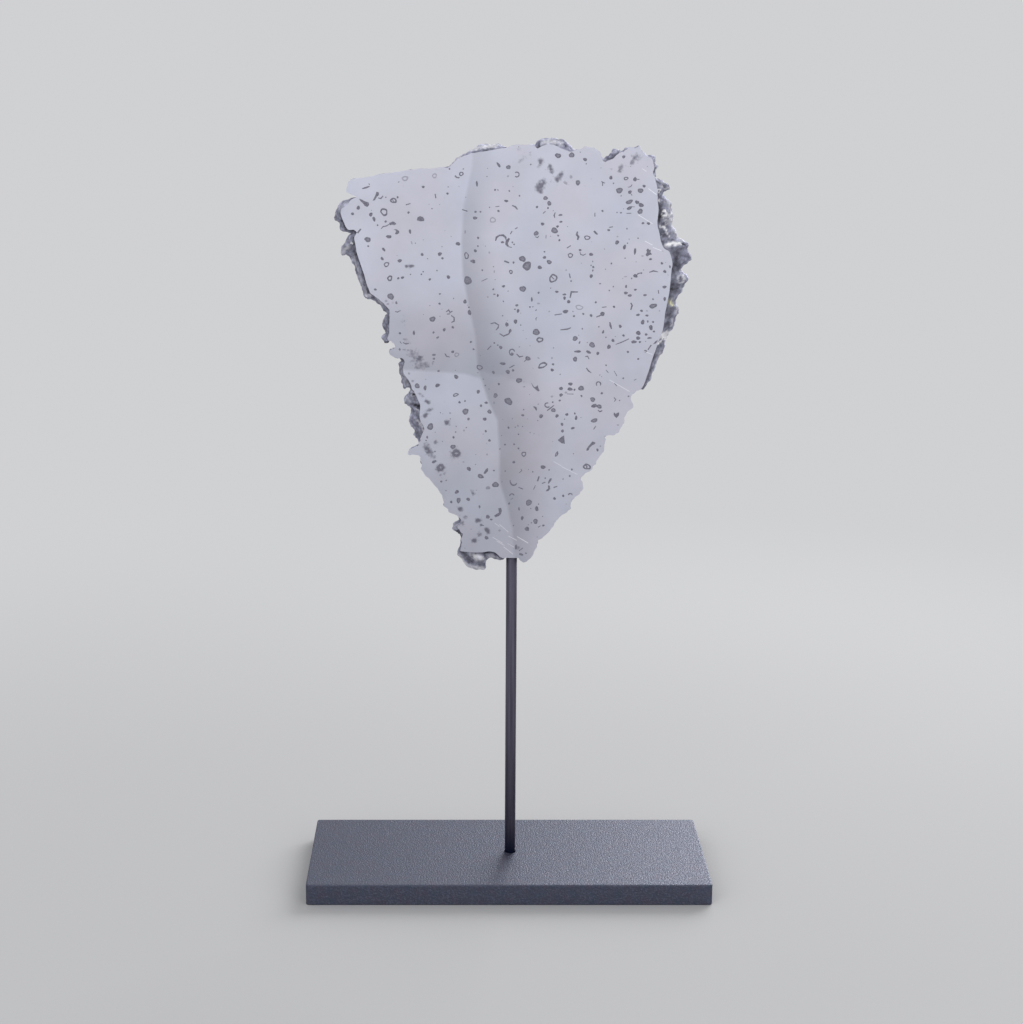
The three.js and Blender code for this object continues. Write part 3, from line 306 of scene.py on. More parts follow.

# Forms on the front of the natural rim, as drawn, with painted shade where dark and painted highlights where light:
# (half width, painted light from -1 black to 1 white, rise in mm, the points of its middle line)
RIM_STROKES = [
    (2.2, -0.55, -0.35, [(659, 206), (660, 213), (659, 221)]), (1.2, -0.5, -0.2, [(664, 213)]),
    (0.8, 0.6, 0.25, [(671, 213.5), (669, 215), (669.5, 218), (671.5, 219)]),
    (0.8, 0.4, 0.2, [(660, 222), (661, 218.5), (664, 217.5)]),
    (0.65, 0.8, 0.3, [(659.4, 225.6), (664.6, 227.4), (666.2, 231.5), (668.5, 235.6)]),
    (1.3, -0.6, -0.35, [(661.5, 234.3), (666, 234)]), (1.6, -0.6, -0.35, [(662.7, 241)]),
    (1.5, 1, 0.4, [(666.5, 244.6), (673, 242.8), (680, 243.6)]), (1.2, -0.9, -0.5, [(682.5, 243), (684.8, 244)]),
    (0.7, -0.4, -0.1, [(668, 239.5), (673, 239)]), (2, 0.35, 0.1, [(673, 228), (677, 235), (683, 240)]), (2, 0.3, 0, [(667, 200), (671, 208), (672.5, 217), (671, 224)]),
    (4.5, -0.35, 0, [(675, 251), (676, 262), (672, 275), (671, 290)]), (1.4, -0.3, -0.2, [(680, 278.5)]),
    (0.8, -0.45, -0.1, [(670, 288.5), (677, 289)]), (3, -0.35, 0, [(669, 310), (668, 322), (665, 333)]),
    (2, 0.2, 0.2, [(675.5, 306), (676, 313)]), (1.2, 0.4, 0.1, [(671.5, 318), (671.5, 325)]),
    (2.6, 1, 0, [(662.5, 335.4), (666.5, 332)]), (0.8, 1, 0, [(666.5, 336), (656, 343.8)]),
    (1.1, -0.2, -0.1, [(657, 346), (652, 362), (646, 380)]), (1.2, 0.25, 0.1, [(660, 352), (655, 368), (649, 384)]),
    (1.2, -0.5, -0.25, [(657.5, 181), (663, 182.5), (668, 185.5)]),
    (1, 0.35, 0.2, [(659, 185), (665, 188), (669.5, 187.5)]), (1.1, 0.9, 0.1, [(658.9, 200.5)]),
    (1.2, -0.5, -0.2, [(661, 203.3)]), (1.8, -0.4, -0.1, [(657, 193), (658, 197)]),
    (1.5, -0.5, -0.3, [(349.5, 193.5), (355, 196.5)]), (2, 0.15, 0.3, [(341, 207), (345, 203)]),
    (1, -0.55, -0.25, [(340.5, 212), (342, 222), (346.5, 231.5)]),
    (1.2, -0.6, -0.35, [(350, 231), (354.5, 230), (357, 232.5)]), (2, 0.3, 0.2, [(341.5, 253), (346, 247)]),
    (0.5, 0.8, 0, [(350.3, 241), (352, 243.5)]),
    (1, -0.6, -0.3, [(353.5, 238), (356.5, 252), (360.5, 265), (364.5, 280), (368, 292)]),
    (0.9, 0.2, 0.1, [(353, 256), (357, 268), (361, 282), (365, 291)]), (1.8, 0.4, 0.25, [(366, 294.5), (370, 295)]),
    (1.5, -0.6, -0.35, [(372.8, 296)]), (1, 0.25, 0.1, [(377, 297.5), (381, 303)]),
    (2, -0.2, -0.1, [(384, 308), (386.5, 318), (385, 330)]), (1.6, -0.6, -0.35, [(399.5, 358), (404, 360), (405, 364)]),
    (2, 0.12, 0.1, [(402, 368), (405, 380), (407, 386)]), (1, -0.95, -0.4, [(413, 393.8)]),
    (2.5, 0.12, 0.25, [(406, 399), (411, 401)]), (0.6, -0.4, -0.1, [(410, 397), (412, 401), (415, 402)]),
    (1.9, -0.95, -0.7, [(414.5, 405.5), (418.5, 406.5)]), (0.6, 0.8, 0, [(416, 408.6), (418, 409.4)]),
    (0.7, 0.4, 0.15, [(416, 420), (420, 423), (423.5, 430), (424.5, 434)]), (2.5, -0.3, -0.1, [(418, 428), (421, 434)]),
    (2.2, -0.55, -0.35, [(462.5, 552), (466, 556), (470, 560)]), (2.6, 0.6, 0.1, [(474, 556.5), (481, 557)]),
    (0.7, -0.5, -0.1, [(475, 553), (477.5, 554)]), (1.7, 0.5, 0.2, [(458.5, 555), (464, 563), (472, 567), (483, 568)]), (0.9, 0.35, 0.1, [(487, 556.5), (493, 555), (499, 558.5)]),
    (0.9, -0.4, -0.15, [(470, 562), (476, 563), (482, 564)]),
    (1.5, -0.65, -0.3, [(484, 554), (489, 551.3), (495, 552.6), (499, 556.5)]),
    (1.8, 0.15, 0.1, [(454, 521), (455, 528)]), (1, -0.55, -0.2, [(458.5, 530), (460.5, 540)]),
    (0.6, -0.35, -0.1, [(461.5, 154.8), (474, 150.6), (487, 148.8), (495, 148)]),
    (1.4, 0.6, 0.1, [(457, 156), (468, 150.5), (480, 146.5), (496, 145)]), (1.1, -0.8, -0.3, [(539, 144.5), (536.5, 149.5)]),
    (2, 0.5, 0.1, [(543, 142), (552, 140.5), (560, 143)]), (1, -0.5, -0.2, [(557.5, 143.3)]),
    (1, -0.6, -0.2, [(564.5, 144.6)]), (1.4, -0.5, -0.2, [(605.5, 161), (611, 156), (618, 151.5)]),
    (0.8, 0.25, 0.1, [(609, 155), (615, 150.5)]),
]

# Raised rings on the rim's front, as drawn, with painted highlights: (x, y, radius, half width, painted light, rise in
# mm)
RIM_RINGS = [
    (664, 213, 2.6, 0.9, 1, 0.35), (666.5, 221.5, 2.2, 0.8, 0.35, 0.2), (658.3, 190, 1.3, 0.6, 0.8, 0.1),
    (680.5, 278.5, 3.6, 1.1, 0.5, 0.3), (467.5, 555, 2.6, 0.7, 0.25, 0.2), (413, 393.8, 2.1, 0.6, 0.35, 0.1),
]
AMBER_PATCH = (1.5, [(669.8, 300.6), (670.8, 303.4)])

# Where the outline runs smoothly, as drawn: (how far the calm reaches beside the line, the line's points)
CALM_EDGES = [
    (7, [(350, 184), (372, 177), (400, 172), (455, 167)]), (6, [(339, 204), (337, 218), (343, 230)]),
    (6, [(345, 238), (342, 252)]), (6, [(459, 556), (466, 565), (484, 569)]), (6, [(664, 332), (652, 360), (642, 388)]),
    (7, [(466, 152), (480, 147), (525, 146)]),
]

SURROUNDINGS = (0.63, 0.635, 0.65, 1)

random.seed(27)
noise.seed_set(27)


# Drawn places


def drawn_places(points):
    """Where points, one a row, are seen in the drawn view."""
    away = np.asarray(points) - np.array(EYE)
    ahead = away[:, 1] * math.cos(PITCH) - away[:, 2] * math.sin(PITCH)
    down = -away[:, 2] * math.cos(PITCH) - away[:, 1] * math.sin(PITCH)
    return np.column_stack((DRAWN_AXIS[0] + FOCAL * away[:, 0] / ahead, DRAWN_AXIS[1] + FOCAL * down / ahead))


def carry_to_face(drawn):
    """The points (x, z), in millimetres, where the sight lines of drawn places meet the polished face."""
    across = (np.asarray(drawn)[:, 0] - DRAWN_AXIS[0]) / FOCAL
    down = (np.asarray(drawn)[:, 1] - DRAWN_AXIS[1]) / FOCAL
    distance = (FACE_Y - EYE.y) / (math.cos(PITCH) - down * math.sin(PITCH))
    drop = math.sin(PITCH) + down * math.cos(PITCH)
    return np.column_stack((EYE.x + distance * across, EYE.z - distance * drop)) / MM


def ease(value):
    """0 to 1 with a soft start and end."""
    value = np.clip(value, 0, 1)
    return value * value * (3 - 2 * value)


def nearness(places, points, half_width):
    """1 for places on a line, half at half_width beside it, and fading to 0 further off."""
    rows = [np.asarray(point, float) for point in points]
    nearest = np.full(len(places), np.inf)
    for start, end in zip(rows, rows[1:] or rows):
        along = end - start
        share = np.clip((places - start) @ along / max(along @ along, 1e-9), 0, 1)
        gap = places - start - share[:, None] * along
        nearest = np.minimum(nearest, np.hypot(gap[:, 0], gap[:, 1]))
    return 0.5 ** ((nearest / half_width) ** 2)


def ring_points(x, y, half_width, half_height, lean, start=0, end=360):
    """Points along an ellipse or a part of it, from one angle to another."""
    steps = max(6, round(abs(end - start) / 24))
    lean = math.radians(lean)
    points = []
    for step in range(steps + 1):
        angle = math.radians(start + (end - start) * step / steps)
        across, down = half_width * math.cos(angle), half_height * math.sin(angle)
        points.append((
            x + across * math.cos(lean) - down * math.sin(lean),
            y + across * math.sin(lean) + down * math.cos(lean),
        ))
    return points


# Materials


def new_material(name):
    material = bpy.data.materials.new(name)
    material.use_nodes = True
    shader = material.node_tree.nodes["Principled BSDF"]
    return material, material.node_tree, shader


def set_or_link(tree, socket, value):
    if isinstance(value, bpy.types.NodeSocket):
        tree.links.new(value, socket)
    else:
        socket.default_value = value


def add_node(tree, kind, inputs=None, **settings):
    node = tree.nodes.new(kind)
    for key, value in settings.items():
        setattr(node, key, value)
    for key, value in (inputs or {}).items():
        set_or_link(tree, node.inputs[key], value)
    return node


def object_noise(tree, scale, detail=3, stretch=(1, 1, 1)):
    """Noise that is fixed on the object, with its scale in features per metre."""
    place = add_node(tree, "ShaderNodeTexCoord").outputs["Object"]
    mapped = add_node(tree, "ShaderNodeMapping", {"Vector": place, "Scale": stretch})
    texture = add_node(tree, "ShaderNodeTexNoise", {"Vector": mapped.outputs[0], "Scale": scale, "Detail": detail})
    return texture.outputs["Fac"]


def ramp(tree, value, low, high, from_low=0.0, from_high=1.0, **settings):
    """Turns a value into another range, held at its ends."""
    limits = {"Value": value, "From Min": from_low, "From Max": from_high, "To Min": low, "To Max": high}
    return add_node(tree, "ShaderNodeMapRange", limits, **settings).outputs["Result"]


def calculate(tree, operation, first, second):
    return add_node(tree, "ShaderNodeMath", {0: first, 1: second}, operation=operation).outputs[0]


def mix_colour(tree, share, first, second, blend="MIX"):
    node = add_node(tree, "ShaderNodeMix", data_type="RGBA", blend_type=blend)
    for socket, value in ((0, share), (6, first), (7, second)):
        set_or_link(tree, node.inputs[socket], value)
    return node.outputs[2]


def shaded(tree, colour, shade):
    """A colour times a grey shade."""
    grey = add_node(tree, "ShaderNodeCombineColor", {"Red": shade, "Green": shade, "Blue": shade})
    return mix_colour(tree, 1.0, colour, grey.outputs[0], "MULTIPLY")


def painted_shade_shine_and_marks(tree):
    """The mesh's painted values: painted shade, inclusion or amber, painted shine, and stain."""
    painted = add_node(tree, "ShaderNodeAttribute", attribute_name="painted_light_and_marks")
    parts = add_node(tree, "ShaderNodeSeparateColor", {"Color": painted.outputs["Color"]})
    return parts.outputs[0], parts.outputs[1], parts.outputs[2], painted.outputs["Alpha"]


def bump(tree, shader, height, distance):
    node = add_node(tree, "ShaderNodeBump", {"Height": height, "Distance": distance})
    tree.links.new(node.outputs[0], shader.inputs["Normal"])


def cut_metal(name, pale, roughness, saw_spacing, saw_depth):
    """Ground iron with darker inclusions and stains, painted shade, and scratches made bright with painted shine. Saw
    lines show where it is only cut.
    """
    material, tree, shader = new_material(name)
    shade, mark, shine, stain = painted_shade_shine_and_marks(tree)
    cloud = ramp(tree, object_noise(tree, 55, 4), 0.95, 1.05, 0.3, 0.7)
    drift = ramp(tree, object_noise(tree, 34, 2), 0, 1, 0.35, 0.65)
    tint = mix_colour(tree, drift, (1.02, 0.995, 0.99, 1), (0.975, 1, 1.02, 1))
    # The painted shade darkens the pale metal; cloud and tint vary it at random.
    metal = mix_colour(tree, 1.0, shaded(tree, shaded(tree, (*pale, 1), shade), cloud), tint, "MULTIPLY")
    mottle = calculate(tree, "ADD", object_noise(tree, 1000, 3), calculate(tree, "MULTIPLY", stain, 0.9))
    metal = mix_colour(tree, ramp(tree, mottle, 0, 0.85, 0.7, 1.2), metal, (0.12, 0.115, 0.155, 1))
    # Painted shine: scratches turn near-white.
    metal = mix_colour(tree, shine, metal, (0.95, 0.96, 0.98, 1))
    grain = ramp(tree, object_noise(tree, 1700, 2), 0, 1, 0.35, 0.65)
    inclusion = mix_colour(tree, grain, (0.13, 0.126, 0.165, 1), (0.22, 0.215, 0.265, 1))
    tree.links.new(mix_colour(tree, mark, metal, inclusion), shader.inputs["Base Color"])
    tree.links.new(ramp(tree, mark, 0.92, 0.6), shader.inputs["Metallic"])
    polish = ramp(tree, object_noise(tree, 140, 3), roughness - 0.03, roughness + 0.05, 0.3, 0.7)
    tree.links.new(calculate(tree, "ADD", polish, ramp(tree, mark, 0, 0.12)), shader.inputs["Roughness"])
    bump(tree, shader, object_noise(tree, 1 / saw_spacing, 2, (1, 1, 0.03)), saw_depth)
    return material


def natural_rim():
    """The meteorite's own outer surface: uneven dull iron, with painted light on what stands out and painted glints."""
    material, tree, shader = new_material("natural_rim")
    shade, amber, shine, _ = painted_shade_shine_and_marks(tree)
    blotch = object_noise(tree, 420, 5)
    body = mix_colour(tree, ramp(tree, blotch, 0, 1, 0.35, 0.65), (0.17, 0.17, 0.23, 1), (0.42, 0.425, 0.54, 1))
    # Painted glints: the painted shine turns the colour near-white, and below makes it less metallic.
    body = mix_colour(tree, shine, shaded(tree, body, shade), (0.9, 0.9, 0.92, 1))
    body = mix_colour(tree, amber, body, (0.78, 0.76, 0.5, 1))
    tree.links.new(body, shader.inputs["Base Color"])
    tree.links.new(ramp(tree, shine, 0.5, 0), shader.inputs["Metallic"])
    tree.links.new(ramp(tree, blotch, 0.62, 0.8), shader.inputs["Roughness"])
    bump(tree, shader, object_noise(tree, 1500, 4), 0.2 * MM)
    return material


def coated_plate():
    """Dark coating with a fine grain that catches the light as specks."""
    material, tree, shader = new_material("coated_plate")
    grain = object_noise(tree, 1600, 2, (1, 0.5, 1))
    patches = object_noise(tree, 260, 2)
    colour = mix_colour(tree, ramp(tree, patches, 0, 1, 0.35, 0.65), (0.06, 0.057, 0.088, 1), (0.05, 0.06, 0.092, 1))
    colour = mix_colour(tree, ramp(tree, grain, 0, 1, 0.5, 0.78), colour, (0.095, 0.104, 0.15, 1))
    tree.links.new(colour, shader.inputs["Base Color"])
    shader.inputs["Metallic"].default_value = 0.5
    shader.inputs["Specular Tint"].default_value = (0.92, 0.94, 1, 1)
    tree.links.new(ramp(tree, grain, 0.36, 0.62, 0.3, 0.7), shader.inputs["Roughness"])
    bump(tree, shader, grain, 0.2 * MM)
    return material


def satin_rod():
    """Dark satin metal with faint lines along it, and painted shade that makes its foot blacker."""
    material, tree, shader = new_material("satin_rod")
    place = add_node(tree, "ShaderNodeTexCoord").outputs["Object"]
    height = add_node(tree, "ShaderNodeSeparateXYZ", {"Vector": place}).outputs["Z"]
    # Painted shade: the lowest 14 mm above the base fade to near black.
    above_foot_shade = ramp(tree, height, 0, 1, BASE_HIGH.z, BASE_HIGH.z + 14 * MM)
    drawn = object_noise(tree, 700, 3, (1, 1, 0.03))
    body = mix_colour(tree, ramp(tree, drawn, 0, 1, 0.3, 0.7), (0.042, 0.039, 0.06, 1), (0.088, 0.083, 0.117, 1))
    tree.links.new(mix_colour(tree, above_foot_shade, (0.002, 0.006, 0.032, 1), body), shader.inputs["Base Color"])
    shader.inputs["Metallic"].default_value = 0.6
    tree.links.new(ramp(tree, drawn, 0.42, 0.55, 0.3, 0.7), shader.inputs["Roughness"])
    bump(tree, shader, drawn, 0.03 * MM)
    return material


# The slice's rim


def open_cut_faces(bm):
    """Takes away the flat front and back, which are made anew with their inclusions."""
    thin = 0.001 * MM
    flat = [
        face for face in bm.faces
        if all(vert.co.y < FACE_Y + thin for vert in face.verts)
        or all(vert.co.y > BACK_Y - thin for vert in face.verts)
    ]
    bmesh.ops.delete(bm, geom=flat, context="FACES")


def on_seat(point):
    """Whether a point belongs to the flat seat on the rod or to the hole for its pin."""
    beside_rod = abs(point.x - ROD_X) < SEAT_REACH and point.z < SHOULDER_Z + SEAT_DEPTH
    in_hole = math.hypot(point.x - ROD_X, point.y) < PIN_RADIUS + 0.4 * MM and point.z < ROD_HIGH.z + MM
    return beside_rod or in_hole


def round_off(bm):
    """Rounds the rim's facets, and in their planes the corners of the two cut edges."""
    inside = [vert for vert in bm.verts if not vert.is_boundary and not on_seat(vert.co)]
    for _ in range(3):
        bmesh.ops.smooth_vert(bm, verts=inside, factor=0.5, use_axis_x=True, use_axis_y=True, use_axis_z=True)
    edges = [vert for vert in bm.verts if vert.is_boundary and not on_seat(vert.co)]
    for _ in range(3):
        moved = {}
        for vert in edges:
            beside = [edge.other_vert(vert).co for edge in vert.link_edges if edge.is_boundary]
            moved[vert] = vert.co.lerp((beside[0] + beside[1]) / 2, 0.5)
        for vert, place in moved.items():
            vert.co = place


def rough_height(point):
    """Natural unevenness in millimetres: broad swellings, knobs with creases between them, and grain."""
    place = point / MM
    swell = noise.noise(place / 3.4)
    nearest, second = noise.voronoi(place / 1.9)[0][:2]
    crease = 1 - min((second - nearest) / 0.35, 1)
    grain = noise.noise(place / 0.6)
    return 0.28 * swell + 0.4 * (0.42 - nearest) - 0.12 * crease + 0.04 * grain


def ragged_edge(point):
    """How far the outline strays at a point, in millimetres, more in some stretches than in others."""
    place = Vector((point.x, 0.5 * point.y, point.z)) / MM
    strength = min(max(0.8 + 1.6 * noise.noise(place / 11), 0.3), 1.5)
    return strength * (0.9 * noise.noise(place / 2.1) + 0.35 * noise.noise(place))


def calmness(places):
    """How smoothly the outline runs at drawn places, from 0 to 1."""
    return np.max([nearness(places, points, reach) for reach, points in CALM_EDGES], axis=0)


def rim_forms(places, fronts):
    """For each place on the rim, the painted light and shade and the rise that the drawn forms give it."""
    light = np.zeros(len(places))
    rise = np.zeros(len(places))
    rings = [
        (half_width, tone, lift, ring_points(x, y, radius, radius, 0))
        for x, y, radius, half_width, tone, lift in RIM_RINGS
    ]
    for half_width, tone, lift, points in RIM_STROKES + rings:
        near = nearness(places, points, half_width) * fronts
        light += tone * near
        rise += lift * near
    return light, rise


def shape_rim(bm):
    """Roughens the rim and returns each vertex's painted shade, amber and painted shine."""
    bm.normal_update()
    bm.verts.index_update()
    verts = list(bm.verts)
    places = drawn_places([vert.co for vert in verts])
    places += [noise.noise_vector(vert.co / (1.1 * MM)).xz * 2 for vert in verts]
    fronts = ease((0.5 - np.array([vert.normal.y for vert in verts])) / 0.3)
    light, rise = rim_forms(places, fronts)
    rough = np.array([rough_height(vert.co) for vert in verts])
    depth = np.array([(vert.co.y - FACE_Y) / (BACK_Y - FACE_Y) for vert in verts])
    for vert, height, calm in zip(verts, rough + rise, calmness(places)):
        if on_seat(vert.co):
            continue
        outward = vert.normal.copy()
        sideways = Vector((outward.x, 0, outward.z)).normalized()
        steepness = 1 - float(ease(abs(outward.y) / 0.7))
        fade = float(ease(min(vert.co.y - FACE_Y, BACK_Y - vert.co.y) / (0.8 * MM)))
        vert.co += sideways * ragged_edge(vert.co) * (1 - 0.85 * calm) * steepness * MM
        vert.co += (outward if fade else sideways) * height * fade * MM
        vert.co.z = min(vert.co.z, SLICE_HIGH.z)
        vert.co.y = min(max(vert.co.y, FACE_Y), BACK_Y)
    # Painted light and shade: darker beside the polished face where the rim recedes, lighter on knobs and darker in
    # hollows, lighter where it faces up, and darker under the dark strokes; the light strokes become painted shine.
    upward = np.array([max(vert.normal.z, 0) for vert in verts])
    shade = 0.74 + 0.3 * ease(depth / 0.6) + 1.1 * rough + 0.5 * upward
    shade *= 1 + np.minimum(light, 0)
    radius, line = AMBER_PATCH
    amber = nearness(places, line, radius) * fronts
    return np.column_stack((np.clip(shade, 0.06, 1.9), amber, np.clip(light, 0, 1)))


def paint_rim(bm, painted_light_and_marks, layer):
    for face in bm.faces:
        face.smooth = True
        face.material_index = 1
        for corner in face.loops:
            corner[layer] = (*painted_light_and_marks[corner.vert.index], 0)


def turns_left(outline):
    """Whether a closed outline runs counterclockwise."""
    rows = np.asarray(outline)
    onward = np.roll(rows, -1, axis=0)
    return np.sum(rows[:, 0] * onward[:, 1] - onward[:, 0] * rows[:, 1]) > 0


def cut_edge_loop(bm, plane_y):
    """The vertices of one cut edge, counterclockwise in the plane x, z."""
    first = next(vert for vert in bm.verts if vert.is_boundary and abs(vert.co.y - plane_y) < 0.001 * MM)
    loop = [first]
    before = None
    while True:
        beside = [edge.other_vert(loop[-1]) for edge in loop[-1].link_edges if edge.is_boundary]
        onward = next(vert for vert in beside if vert is not before)
        if onward is first:
            break
        before = loop[-1]
        loop.append(onward)
    outline = [(vert.co.x, vert.co.z) for vert in loop]
    return loop if turns_left(outline) else loop[::-1]


# The slice's cut faces, worked out in millimetres in the plane x, z


def blob(x, y, half_width, half_height, lean=0.0, unevenness=0.2):
    """The outline of an uneven rounded spot."""
    count = max(10, min(22, int(5 * (half_width + half_height))))
    swings = [(order, random.uniform(0, math.tau)) for order in (2, 3, 5)]
    lean = math.radians(lean)
    outline = []
    for step in range(count):
        angle = math.tau * step / count
        reach = 1 + sum(unevenness / order * math.sin(order * angle + swing) for order, swing in swings)
        across = half_width * reach * math.cos(angle)
        down = half_height * reach * math.sin(angle)
        outline.append((
            x + across * math.cos(lean) - down * math.sin(lean),
            y + across * math.sin(lean) + down * math.cos(lean),
        ))
    return outline


def ribbon(points, width):
    """The outline of a line with an uneven width and narrower ends."""
    left, right = [], []
    for index, (x, y) in enumerate(points):
        before = points[max(index - 1, 0)]
        after = points[min(index + 1, len(points) - 1)]
        along = Vector((after[0] - before[0], after[1] - before[1])).normalized()
        is_end = index in (0, len(points) - 1)
        half = width / 2 * (0.6 if is_end else 1) * random.uniform(0.85, 1.2)
        left.append((x - along.y * half, y + along.x * half))
        right.append((x + along.y * half, y - along.x * half))
    return left + right[::-1]


def shrunk(outline, share_x, share_y):
    """An outline drawn in towards its own middle."""
    middle = np.mean(outline, axis=0)
    return [tuple(middle + (np.array(point) - middle) * (share_x, share_y)) for point in outline]


def spot_shapes(x, y, half_width, half_height=None, lean=0.0):
    """A filled inclusion, and in a large one a lighter core."""
    half_height = half_height or half_width
    outline = blob(x, y, half_width, half_height, lean)
    shapes = [(outline, "inclusion")]
    if min(half_width, half_height) > 2:
        core = random.uniform(0.45, 0.65)
        shapes.append((shrunk(outline, core, core), "core"))
    return shapes


def ring_shapes(x, y, half_width, half_height, lean, start=None, end=None):
    """A ring with bare metal inside it, or an arc where the ring is open."""
    width = THICK_RING_WIDTH if min(half_width, half_height) > 2.7 else RING_WIDTH
    if start is not None:
        return [(ribbon(ring_points(x, y, half_width, half_height, lean, start, end), width), "inclusion")]
    outline = blob(x, y, half_width, half_height, lean, 0.2)
    inside = shrunk(outline, 1 - width / half_width, 1 - width / half_height)
    return [(outline, "inclusion"), (inside, "metal")]


def drawn_shapes():
    """Every listed inclusion and scratch of the polished face: its drawn outline and its kind."""
    shapes = []
    for spot in SPOTS:
        shapes += spot_shapes(*spot)
    for spot in FAINT_SPOTS:
        shapes += [(outline, "faint") for outline, _ in spot_shapes(*spot)[:1]]
    shapes += [(outline, "inclusion") for outline in SHAPES]
    for ring in RINGS:
        shapes += ring_shapes(*ring)
    for ring in FAINT_RINGS:
        shapes += [(outline, "faint" if kind == "inclusion" else kind) for outline, kind in ring_shapes(*ring)]
    shapes += [(ribbon(points, width), "inclusion") for width, points in LINES]
    shapes += [(ribbon(points, width), "scratch") for width, points in SCRATCHES]
    return shapes


# How much of the inclusion's colour and of painted shine each kind of shape has
KINDS = {
    "metal": (0.0, 0.0), "inclusion": (1.0, 0.0), "core": (0.82, 0.0), "faint": (0.5, 0.0), "scratch": (0.0, 0.5),
}


def is_inside(points, outline):
    """For each point, whether it lies inside a closed outline."""
    points = np.asarray(points, float)
    inside = np.zeros(len(points), bool)
    rows = np.asarray(outline, float)
    for (ax, ay), (bx, by) in zip(rows, np.roll(rows, -1, axis=0)):
        crosses = (ay > points[:, 1]) != (by > points[:, 1])
        slope = (bx - ax) / (by - ay) if by != ay else 0.0
        inside ^= crosses & (points[:, 0] < ax + (points[:, 1] - ay) * slope)
    return inside


def distance_to_edge(points, outline):
    """For each point, its distance to the nearest point of a finely stepped outline."""
    points = np.asarray(points, float)
    nearest = np.full(len(points), np.inf)
    for x, y in np.asarray(outline, float):
        nearest = np.minimum(nearest, np.hypot(points[:, 0] - x, points[:, 1] - y))
    return nearest


def clear_of_edge(points, outline, margin):
    return is_inside(points, outline) & (distance_to_edge(points, outline) > margin)


def speck(x, y, radius):
    return [(blob(x, y, radius, radius * random.uniform(0.6, 1), random.uniform(0, 180)), "inclusion")]


def loose_ring(x, y, radius):
    outline = blob(x, y, radius, radius * random.uniform(0.7, 1), random.uniform(0, 180))
    return [(outline, "inclusion"), (shrunk(outline, 0.55, 0.55), "metal")]


def loose_arc(x, y, radius):
    start = random.uniform(0, 360)
    end = start + random.uniform(70, 230)
    lean = random.uniform(0, 180)
    points = ring_points(x, y, radius, radius * random.uniform(0.4, 0.9), lean, start, end)
    return [(ribbon(points, random.uniform(0.4, 0.7)), "inclusion")]


def scattered(draw, count, smallest, largest, outline, taken):
    """Seeded shapes inside an outline that keep clear of its edge and of the places already taken."""
    low, high = np.min(outline, axis=0), np.max(outline, axis=0)
    tries = np.array([(random.uniform(low[0], high[0]), random.uniform(low[1], high[1])) for _ in range(count * 6)])
    shapes = []
    for x, y in tries[clear_of_edge(tries, outline, largest + 0.4)]:
        radius = smallest + (largest - smallest) * random.random() ** 2
        if any(math.dist((x, y), (tx, ty)) < radius + reach + 0.25 for tx, ty, reach in taken):
            continue
        taken.append((x, y, radius))
        shapes += draw(x, y, radius)
        count -= 1
        if not count:
            break
    return shapes


def places_taken(shapes):
    """A round place for each shape: its middle and its reach."""
    taken = []
    for outline, _ in shapes:
        middle = np.mean(outline, axis=0)
        reach = np.hypot(*(np.array(outline) - middle).T).max()
        taken.append((*middle, float(reach)))
    return taken


def even_grid(outline, spacing):
    """Points of a triangular grid over an outline's box."""
    low, high = np.min(outline, axis=0), np.max(outline, axis=0)
    row_step = spacing * math.sqrt(3) / 2
    grid = []
    for row in range(int((high[1] - low[1]) / row_step) + 1):
        shift = spacing / 2 if row % 2 else 0
        for column in range(int((high[0] - low[0]) / spacing) + 1):
            grid.append((low[0] + shift + column * spacing, low[1] + row * row_step))
    return grid


def upright_edge_at(drawn_y):
    """How far right the upright edge of the painted shade is at a drawn height."""
    across, heights = zip(*UPRIGHT_EDGE)
    return np.interp(drawn_y, heights, across)


def shading_places():
    """Drawn places on and around each stain and along the edges of the painted shade, where the tone changes quickly.
    """
    places = []
    for radius, _, points in STAINS:
        for x, y in points:
            places.append((x, y))
            for share in (0.5, 1, 1.6):
                places += ring_points(x, y, radius * share, radius * share, 40 * share, 0, 330)
    for y in range(150, 560, 3):
        x = upright_edge_at(y)
        places += [(x + beside, y) for beside in (-4, -1.6, 0, 1.6, 4, 8)]
    for x in range(402, 478, 3):
        y = np.interp(x, *zip(*LEVEL_EDGE))
        places += [(x, y + beside) for beside in (-8, -4, -1.6, 0, 1.6, 4)]
    return places


def face_painted_shade(places):
    """How light the polished face is at drawn places under its painted shade."""
    x, y = places[:, 0], places[:, 1]
    heights, darkness, reach = zip(*PAINTED_SHADE)
    # Painted shade: darkest beside the upright edge and fading to its right, weaker beside the wedge edge and around
    # the level edge.
    right = x - upright_edge_at(y)
    dark_side = ease((right + 1.8) / 3.6)
    shade = np.interp(y, heights, darkness) * dark_side * (1 - ease(right / np.interp(y, heights, reach)))
    above_wedge = np.interp(x, *zip(*WEDGE_EDGE)) - y
    shade += 0.08 * dark_side * ease(above_wedge / 3) * (1 - ease(above_wedge / 40)) * (1 - ease((x - 520) / 34))
    above_level = np.interp(x, *zip(*LEVEL_EDGE)) - y
    shade += 0.2 * (1 - dark_side) * ease((above_level + 1.6) / 3.2) * (1 - ease(above_level / 110))
    shade += 0.12 * (1 - dark_side) * ease(-above_level / 150)
    return 1 - shade


def face_stain(places):
    """How stained the polished face is at drawn places."""
    bare = np.ones(len(places))
    for radius, strength, points in STAINS:
        bare *= 1 - strength * nearness(places, points, radius)
    return 1 - bare


def front_painted_shade_and_stain(points):
    """The painted shade and stain of points, one a row, on the polished face."""
    places = drawn_places(points)
    return face_painted_shade(places), face_stain(places)


